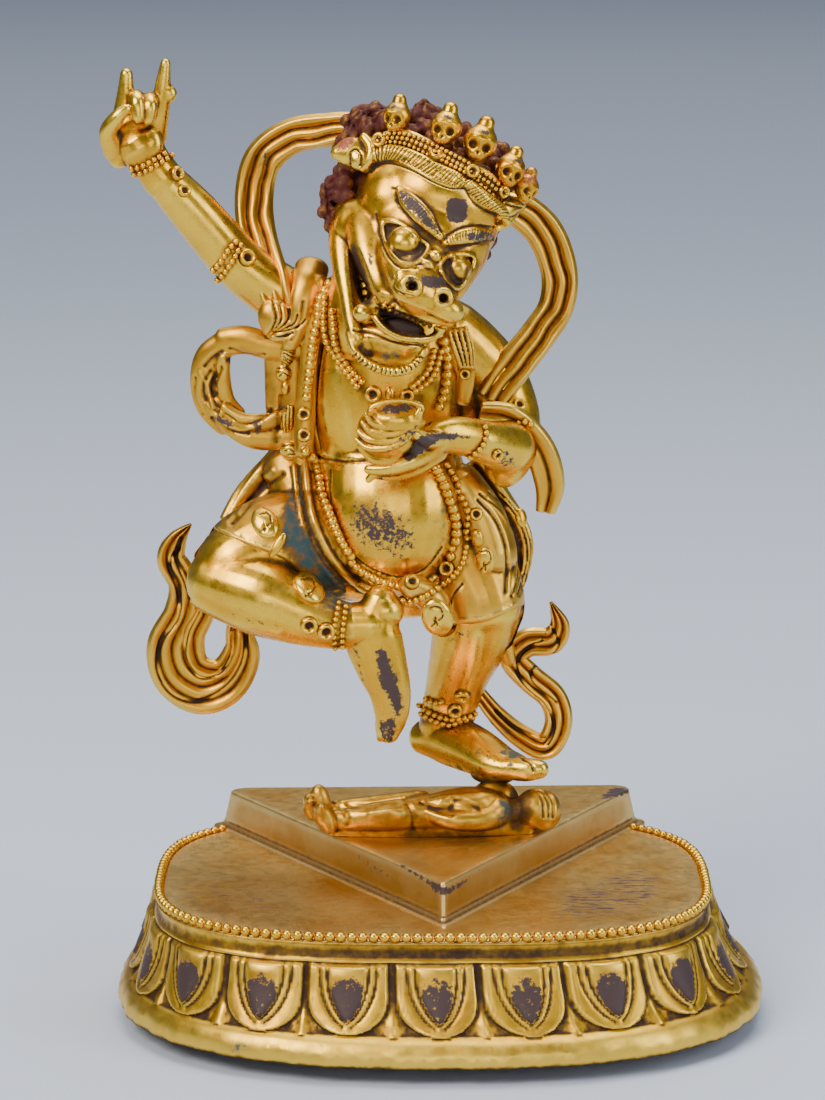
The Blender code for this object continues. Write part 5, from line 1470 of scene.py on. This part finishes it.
# The short skirt over both thighs, with the flying folds at the hips
def skirt():
    s = figureSpace
    lumps = [
        limb(s, [(-14, 0, 43), (-22, -4, 42.6), (-28.5, -6.2, 41.8), (-33.0, -7, 40.4), (-35.4, -7.4, 39.0)],
             [(9.8, 9.8), (9.6, 9.6), (9.2, 9.0), (8.0, 7.9), (6.9, 6.8)], endTurns=(80, 40)),
        limb(s, [(2, 3, 42), (5, 1, 37), (7.2, -1.2, 31.8), (7.4, -1.0, 28.6)],
             [(9.4, 10.0), (8.9, 9.2), (8.1, 8.3), (7.6, 7.7)], endTurns=(80, 40)),
        band(s, [(-24, 2, 59), (-28, 2, 54.5), (-32.5, 1, 49.5), (-36.0, -1, 44.8)], [6, 6, 6, 4.6], 1.5, 2,
             fineness=12),
        band(s, [(5, 2, 55), (9.6, 3, 48.5), (13.4, 3, 41), (12.9, 2, 33.5)], [7, 7, 7, 5], 1.6, 3,
             fineness=12),
        limb(s, [(-26, 0, 55), (-23, -3, 50), (-21, -4, 46)], [(4.4, 3.4), (5.0, 4.4), (5.4, 5.0)]),
        limb(s, [(4, -2, 52), (7.4, -2, 46), (9.4, -2.4, 40)], [(4.0, 4.6), (4.6, 5.4), (4.4, 5.6)]),
        limb(s, [(-4.5, -13.0, 36.5), (-1.0, -12.0, 34.0), (1.0, -11.2, 29.6)], [2.2, 2.6, 2.4]),
    ]
    piece = fused("skirt", lumps, 0.33, 4)
    drawn(piece, sunk=[
        # bare knee and shin beyond the hems
        ([(160, 500), (206, 521), (218, 532), (248, 546), (282, 559), (300, 574), (318, 600), (330, 640),
          (300, 700), (140, 660)], 2.2, 2.6),
        ([(440, 624), (455, 625), (486, 623), (516, 609), (540, 600), (540, 680), (430, 680)], 2.2, 2.2),
    ], lines=[
        ([(216, 529), (248, 542), (284, 555), (302, 570)], 1.8, 0.22),
        ([(455, 620), (486, 618), (514, 605)], 1.8, 0.22),
        # the garment's edge round the belly
        ([(305, 462), (307, 490), (314, 522), (329, 554), (352, 580), (380, 595), (402, 601)], 5.5, 0.85),
        ([(294, 466), (297, 495), (304, 528), (318, 560), (342, 588), (370, 604)], 3.4, 0.45),
        ([(282, 474), (262, 490), (246, 506), (232, 522)], 5.0, -0.35),  # the long fold at the left hip
        ([(258, 462), (240, 488), (226, 516)], 4.2, -0.25), ([(272, 470), (252, 492), (238, 514)], 4.0, 0.22),
        ([(478, 500), (496, 520), (507, 550), (506, 592)], 3.0, -0.45),
        ([(487, 498), (505, 518), (515, 550), (513, 594)], 3.0, 0.30),
        ([(480, 494), (502, 512), (516, 538), (520, 566), (512, 596)], 2.4, -0.40),
        ([(490, 492), (512, 512), (525, 540), (526, 566), (519, 594)], 2.2, -0.50),
        ([(500, 494), (520, 514), (531, 540), (531, 562), (524, 590)], 2.0, -0.40),
        ([(462, 584), (452, 598), (448, 618)], 2.6, -0.25),
    ])
    paintAreas(piece, "verdigris", [
        ([(281, 515), (290, 488), (298, 512), (311, 545), (332, 572), (356, 590), (346, 602), (326, 596),
          (310, 574), (292, 553), (281, 534)], 6, 0.90),
        ([(296, 470), (304, 500), (296, 500)], 6, 0.7)])
    # darker at the left hip, under the belly's hem and along the garment's left edge
    paintAreas(piece, "dirtAndShade", [
        ([(232, 470), (270, 452), (290, 480), (240, 520)], 12, 0.30),
        ([(330, 600), (360, 606), (400, 604), (352, 620)], 8, 0.6),
        ([(286, 490), (310, 530), (350, 598), (380, 604), (352, 620), (320, 604), (280, 540)], 9, 0.8)])
    paintAreas(piece, "worn", [([(222, 522), (236, 516), (244, 532), (230, 534)], 7, 0.34)])
    soiledAndShaded(piece, fine=(5, 0.07), broad=(34, 0.22))
    return keep(piece, "skirt", cloth)


skirtPiece = skirt()
print("skirt done")


# The skull cup with its layered shells, held low in front of the chest
def cup():
    s = figureSpace
    lumps = [
        ball(s, at(386, 433, -22.0), (5.0, 3.6, 4.4), 24), ball(s, at(396, 420, -22.0), (5.0, 3.9, 3.2), 0),
        limb(s, loopPoints(at(396, 410, -22.4), (4.35, 1.45), -3, 16), [0.55] * 17, sides=12, perSpan=3),
        ball(s, at(399, 409, -21.6), (3.0, 2.2, 1.5)), ball(s, at(392, 410, -22.2), 1.0),
        ball(s, at(404, 408, -22.4), 1.1),
        limb(s, alongPixels([(362, 446, -21.6), (374, 458, -22.0), (388, 459, -22.6), (398, 452, -22.8)]),
             [0.9, 1.1, 1.2, 0.9]),
        limb(s, alongPixels([(368, 480, -20.0), (378, 471, -20.4), (392, 466, -20.6)]),
             [(0.6, 0.5), (1.0, 0.8), (1.1, 0.9)]),
    ]
    shells = (((366, 414), (374, 424), (396, 427), (414, 418), (420, 408)),
              ((362, 422), (372, 432), (394, 434), (414, 424), (422, 412)),
              ((358, 431), (370, 440), (392, 441), (411, 431), (421, 418)),
              ((356, 439), (368, 448), (388, 448), (406, 439), (417, 427)))
    for shell in shells:
        lumps.append(limb(s, alongPixels([(x, y, -25.2 + 0.02 * (x - 390) ** 2 / 14) for x, y in shell]),
                          [(0.35, 0.4), (0.55, 0.6), (0.6, 0.6), (0.55, 0.6), (0.3, 0.4)],
                          sides=12, perSpan=6))
    piece = fused("cup", lumps, 0.19, 2)
    drawn(piece, sunk=[
        ([(376, 409), (386, 404), (404, 403), (415, 407), (410, 413), (394, 415), (382, 414)], 3, 0.5)])
    paintAreas(piece, "worn", [
        ([(378, 409), (390, 404), (408, 404), (414, 410), (400, 414), (384, 413)], 4, 0.75),
        ([(398, 438), (416, 424), (420, 430), (402, 446), (386, 452)], 3, 0.55)])
    soiledAndShaded(piece, fine=(4, 0.05), broad=(24, 0.16))
    return keep(piece, "skull_cup", burnished)


bowl = cup()
print("cup done")


# Beads, bosses and carved drops stand where the line of sight meets the skin
beadSink = 0.35  # share of its radius that a bead is sunk in
# a boss stands further out on the crown, above this pixel row
bossRise, crownBossRise, crownBelow = 0.12, 0.4, 200
pixelMm = view["distance"] / view["pixelsPerRadian"] / mm


def seenOn(px, py):
    ray = sightLine(px, py)
    spot, normal, _, _ = dressed.ray_cast(eye, ray)
    return (spot, normal if normal.dot(ray) < 0 else -normal) if spot else (None, None)


def strung(path, pitch, radius):
    # beads along a path on the picture; the pitch and the radius are in pixels
    line = throughPoints(path, 14)
    walked = np.concatenate([[0], np.cumsum(np.linalg.norm(np.diff(line, axis=0), axis=1))])
    places = []
    for distance in np.arange(0, walked[-1], pitch):
        spot, normal = seenOn(np.interp(distance, walked, line[:, 0]),
                              np.interp(distance, walked, line[:, 1]))
        if spot:
            size = radius * pixelMm * mm * chance.uniform(0.93, 1.06)
            places.append(standOn(spot + normal * size * (1 - beadSink), normal, (size, size, size)))
    return places


def turned(name, profile):
    # a round form from its profile: radius and height
    angles = np.linspace(0, 2 * math.pi, 20, endpoint=False)
    rings = [[(r * math.cos(a), r * math.sin(a), z) for a in angles] for r, z in profile]
    return skinOver(name, np.array(rings))


def ringBossPattern():
    piece = turned("ringBoss", [(0.05, 0.06), (0.34, 0.05), (0.46, 0.34), (0.60, 0.58), (0.76, 0.60),
        (0.93, 0.40), (1.0, 0.05), (0.98, -0.7)])
    points, _ = shapeOf(piece)
    out = np.hypot(points[:, 0], points[:, 1])
    # painted shade in the hole and round the foot, and a painted highlight on the ring's top, which is also
    # rubbed
    paint(piece, "dirtAndShade", np.where(out < 0.45, 1.0, 0.0) + np.clip((out - 0.97) * 30, 0, 0.8))
    paint(piece, "rubbedAndHighlit", np.where((out > 0.55) & (out < 0.9), 0.9, 0.0))
    piece.data.shade_smooth()
    return piece


def domePattern():
    bpy.ops.object.select_all(action="DESELECT")
    bpy.ops.mesh.primitive_uv_sphere_add(segments=44, ring_count=24, radius=1)
    dome = bpy.context.object
    dome.data.shade_smooth()
    return dome


dressed = skinTree([torso, handUp, handCup, footUp, footDown, face, curls, crownBand, loops, tube, skirtPiece,
                    bowl, curled])
ringBoss, dome = ringBossPattern(), domePattern()

strands = []  # the path on the picture, then the pitch and the radius in pixels
for path, pitch, radius in (
        # large beads, left
        ([(326, 284), (319, 301), (316.6, 321), (313, 339), (311, 358), (308.6, 380), (306, 402)], 8.2, 5.7),
        ([(305, 452), (313, 459), (316, 472), (321, 495), (330, 520), (342, 545), (359, 566), (380, 579),
          (402, 586)], 6.4, 5.0),
        # up the belly's right side
        ([(451.4, 556), (452, 544), (453, 522), (447, 500), (439, 478), (433, 466)], 8.0, 5.6),
        ([(446, 466), (461, 496), (468, 512), (467, 540)], 7.0, 4.0),
        ([(441.6, 342), (445, 358), (445, 374), (443, 390), (437, 410)], 8.2, 5.5),  # large beads, right
        # double row of the necklace
        ([(327, 299), (326, 319), (327, 334), (332, 348), (340, 363), (350, 376), (359, 388)], 6.0, 4.0),
        ([(334, 312), (335.5, 328), (336.5, 341), (341, 353), (350, 368), (358, 377), (366, 385)], 6.0, 4.0),
        ([(412, 386), (421, 378), (428, 369), (432, 355), (434, 346)], 6.0, 3.9),
        ([(415, 391), (425, 384), (433, 374), (438, 360), (440, 350)], 6.0, 3.9),
        # rope below the belly
        ([(401, 602), (416, 599), (430, 593), (444, 584), (455, 575), (463, 562), (466, 545)], 5.4, 3.6),
        ([(210.4, 273), (221, 262), (230, 248), (239, 239)], 5.6, 3.4),
        ([(219, 279), (227, 270), (234, 258), (241, 244)], 5.6, 3.4),
        ([(130, 174), (142, 172), (155, 166), (168, 158), (175, 153)], 5.6, 3.2),
        ([(127, 168), (140, 166), (153, 160), (165, 152), (171, 147)], 5.6, 3.2),
        ([(338, 604), (335, 620), (334, 636), (336, 652)], 5.4, 3.0),
        ([(345, 608), (343, 624), (342, 640), (343, 656)], 5.4, 3.0),
        ([(423, 713), (437, 720), (451, 723.6), (466, 722), (476, 717)], 5.6, 3.6),
        ([(421, 706), (437, 714), (451, 717.5), (466, 716), (477, 711)], 5.6, 3.4),
        ([(419, 693), (428, 699), (438, 702), (446, 699)], 5.2, 3.3),
        ([(484, 428), (485, 436), (481, 446), (472, 454), (466, 459)], 5.6, 3.2),
        ([(519, 422), (526, 421), (533, 426)], 6.0, 3.4),
        ([(372, 147), (386, 142), (404, 143), (422, 151), (444, 163), (468, 176), (488, 189), (502, 201)],
         5.0, 2.5),
        ([(374, 143), (388, 138), (406, 139), (425, 147), (447, 158), (470, 171), (490, 184), (505, 198)],
         5.0, 2.5),
        ([(376, 139), (390, 134), (408, 135), (428, 143), (450, 154), (472, 166), (492, 179), (507, 194)],
         5.0, 2.5)):
    strands += strung(path, pitch, radius)
beads = strewn("beads", bead, strands)
keep(beads, "bead_strands", burnished)

bosses = []  # where each is seen, and its radius in pixels
for px, py, radius in ((304, 414, 7.4), (304, 435, 7.4), (305, 450, 4.6), (373, 394, 9.0), (407, 396, 7.6),
                       (247, 258, 9.4), (175, 174, 8.0),
                       (184, 191, 7.0), (309, 625, 9.4), (326, 631, 9.6), (462.5, 695, 8.8), (455, 710, 8.4),
                       (412, 582, 8.0), (431, 580, 8.6),
                       (447, 568, 8.6), (476, 514, 7.0), (497, 454, 6.4), (519, 405, 7.0), (465, 374, 6.0),
                       (380, 140, 7.6), (436, 158, 7.8),
                       (472, 171, 7.4), (502, 191, 6.6)):
    spot, normal = seenOn(px, py)
    size = radius * pixelMm * mm
    bosses.append(standOn(spot + normal * size * (bossRise if py > crownBelow else crownBossRise), normal,
                          (size, size, size * 0.9)))
bossRow = strewn("bosses", ringBoss, bosses)
keep(bossRow, "ring_bosses", burnished)

drops = []  # where each is seen, its half width, half height and thickness in pixels, and its lean
for px, py, wide, tall, thick, spin in ((288, 352, 8, 15, 7, -8), (284, 373, 8.6, 10, 8, 0),
        (286, 388, 5, 8, 5, 0), (288, 420, 8, 21, 7, 4),
                                        (290, 450, 10.5, 9.5, 9, 0), (265, 523, 13, 18, 6, 30),
                                        (309, 588, 17, 21, 7, -20), (437, 617, 16, 21, 8, 14),
                                        (485, 561, 10, 15, 5, -8), (477, 538, 7, 10, 5, 10),
                                        (390, 394, 5, 8, 5, 0), (278, 545, 5, 14, 4, -32),
                                        (521, 518, 7, 10, 4, 0)):
    spot, normal = seenOn(px, py)
    lift = Vector((0, 0, 1))
    side = lift.cross(normal).normalized()
    upright = Matrix((side, normal.cross(side), normal)).transposed().to_4x4()
    size = pixelMm * mm
    drops.append(Matrix.Translation(spot + normal * thick * size * 0.1) @ upright
                 @ Matrix.Rotation(math.radians(spin), 4, "Z")
                 @ Matrix.Diagonal((wide * size, tall * size, thick * size, 1)))
pendants = strewn("pendants", dome, drops)
pendants.data.shade_smooth()
drawn(pendants, lines=hatched([(288, 340), (289, 352), (287, 366)], 12, 3.4, 20, 1.2, -0.22)
      + [([(282 + 4 * k, 402), (281 + 4.4 * k, 420), (283 + 3.4 * k, 440)], 1.3, -0.28) for k in range(4)]
      + [([(277, 369), (285, 367), (291, 370)], 1.3, -0.3),
         ([(279, 376), (284, 373), (290, 377)], 1.2, -0.25),
         ([(282, 446), (290, 444), (297, 447), (296, 454), (288, 455)], 1.4, -0.3),
         ([(284, 451), (290, 449), (294, 452)], 1.2, -0.25)]
      + [([(px - 6 + k, py - 9 + 2 * k), (px + 3 - k, py - 10 + 3 * k), (px + 6 - k, py - 1 + k),
           (px, py + 5), (px - 5 + k, py + 9)], 1.3, -0.28)
         for px, py in ((265, 523), (309, 588), (437, 617), (485, 561)) for k in (0, 5)])
soiledAndShaded(pendants, fine=(3, 0.03), broad=(12, 0.09))
# dirt and painted shade where each drop meets the skin
shadedAndSoiledBy(pendants, [place.translation for place in drops], 0.5, 0.2)
keep(pendants, "carved_drops", burnished)
# dirt and painted shade round the foot of every bead and boss
for piece in (torso, handUp, handCup, footUp, footDown, face, loops, tube, skirtPiece):
    shadedAndSoiledBy(piece, [place.translation for place in strands + bosses], 1.25, 0.95)
print("jewellery done")


# A pale floor that rises behind, and soft studio light
def paleSweep():
    profile = [(-3.0, 0.0), (9.0, 0.0), (10.2, 0.1), (11.2, 0.5), (11.8, 1.4), (12.0, 3.0), (12.0, 8.0)]
    line = throughPoints(profile, 8)
    points = [(x, y, z) for x in (-9, 9) for y, z in line]
    count = len(line)
    faces = [(k, count + k, count + k + 1, k + 1) for k in range(count - 1)]
    return newPiece("paleSweep", points, faces)


sweep = paleSweep()
paper = bpy.data.materials.new("matt grey-blue paper sweep")  # soft, even, without shine
paper.use_nodes = True
paper.node_tree.nodes["Principled BSDF"].inputs["Base Color"].default_value = linear("#C2CBDA")
paper.node_tree.nodes["Principled BSDF"].inputs["Roughness"].default_value = 0.9
sweep.data.materials.append(paper)

lights = [  # name, place, aim, width, height, watts, colour
    ("keyPanel", (-0.55, -0.55, 0.75), (0, 0, 0.08), 0.55, 0.55, 10.5, "#FFF6EA"),
    ("rightPanel", (0.75, -0.35, 0.45), (0, 0, 0.09), 0.35, 0.7, 4.0, "#F3F6FF"),
    ("topPanel", (0.05, 0.15, 0.95), (0, 0, 0.05), 0.7, 0.5, 6.0, "#FFFFFF"),
    ("frontPanel", (0.1, -1.2, 0.35), (0, 0, 0.09), 0.9, 0.35, 3.0, "#FFFFFF"),
    ("farPanel", (0.0, 1.5, 2.3), (0, 1.3, 0.0), 3.4, 2.6, 34.0, "#F6F8FF"),
]
for name, place, aim, width, height, watts, colour in lights:
    bpy.ops.object.light_add(type="AREA", location=place)
    light = bpy.context.object
    light.name = name
    light.rotation_euler = (Vector(aim) - Vector(place)).to_track_quat("-Z", "Y").to_euler()
    light.data.shape = "RECTANGLE"
    light.data.size, light.data.size_y = width, height
    light.data.energy = watts
    light.data.color = linear(colour)[:3]

world = bpy.data.worlds.new("studio air")
world.use_nodes = True
world.node_tree.nodes["Background"].inputs["Color"].default_value = linear("#C2CBD6")
world.node_tree.nodes["Background"].inputs["Strength"].default_value = 0.27
bpy.context.scene.world = world

for pattern in (bead, skullShape, ringBoss, dome):
    bpy.data.objects.remove(pattern)

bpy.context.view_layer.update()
shown = [piece for piece in bpy.data.objects if piece.type == "MESH" and not piece.hide_render]
print("triangles in all", sum(triangleCount(piece) for piece in shown))
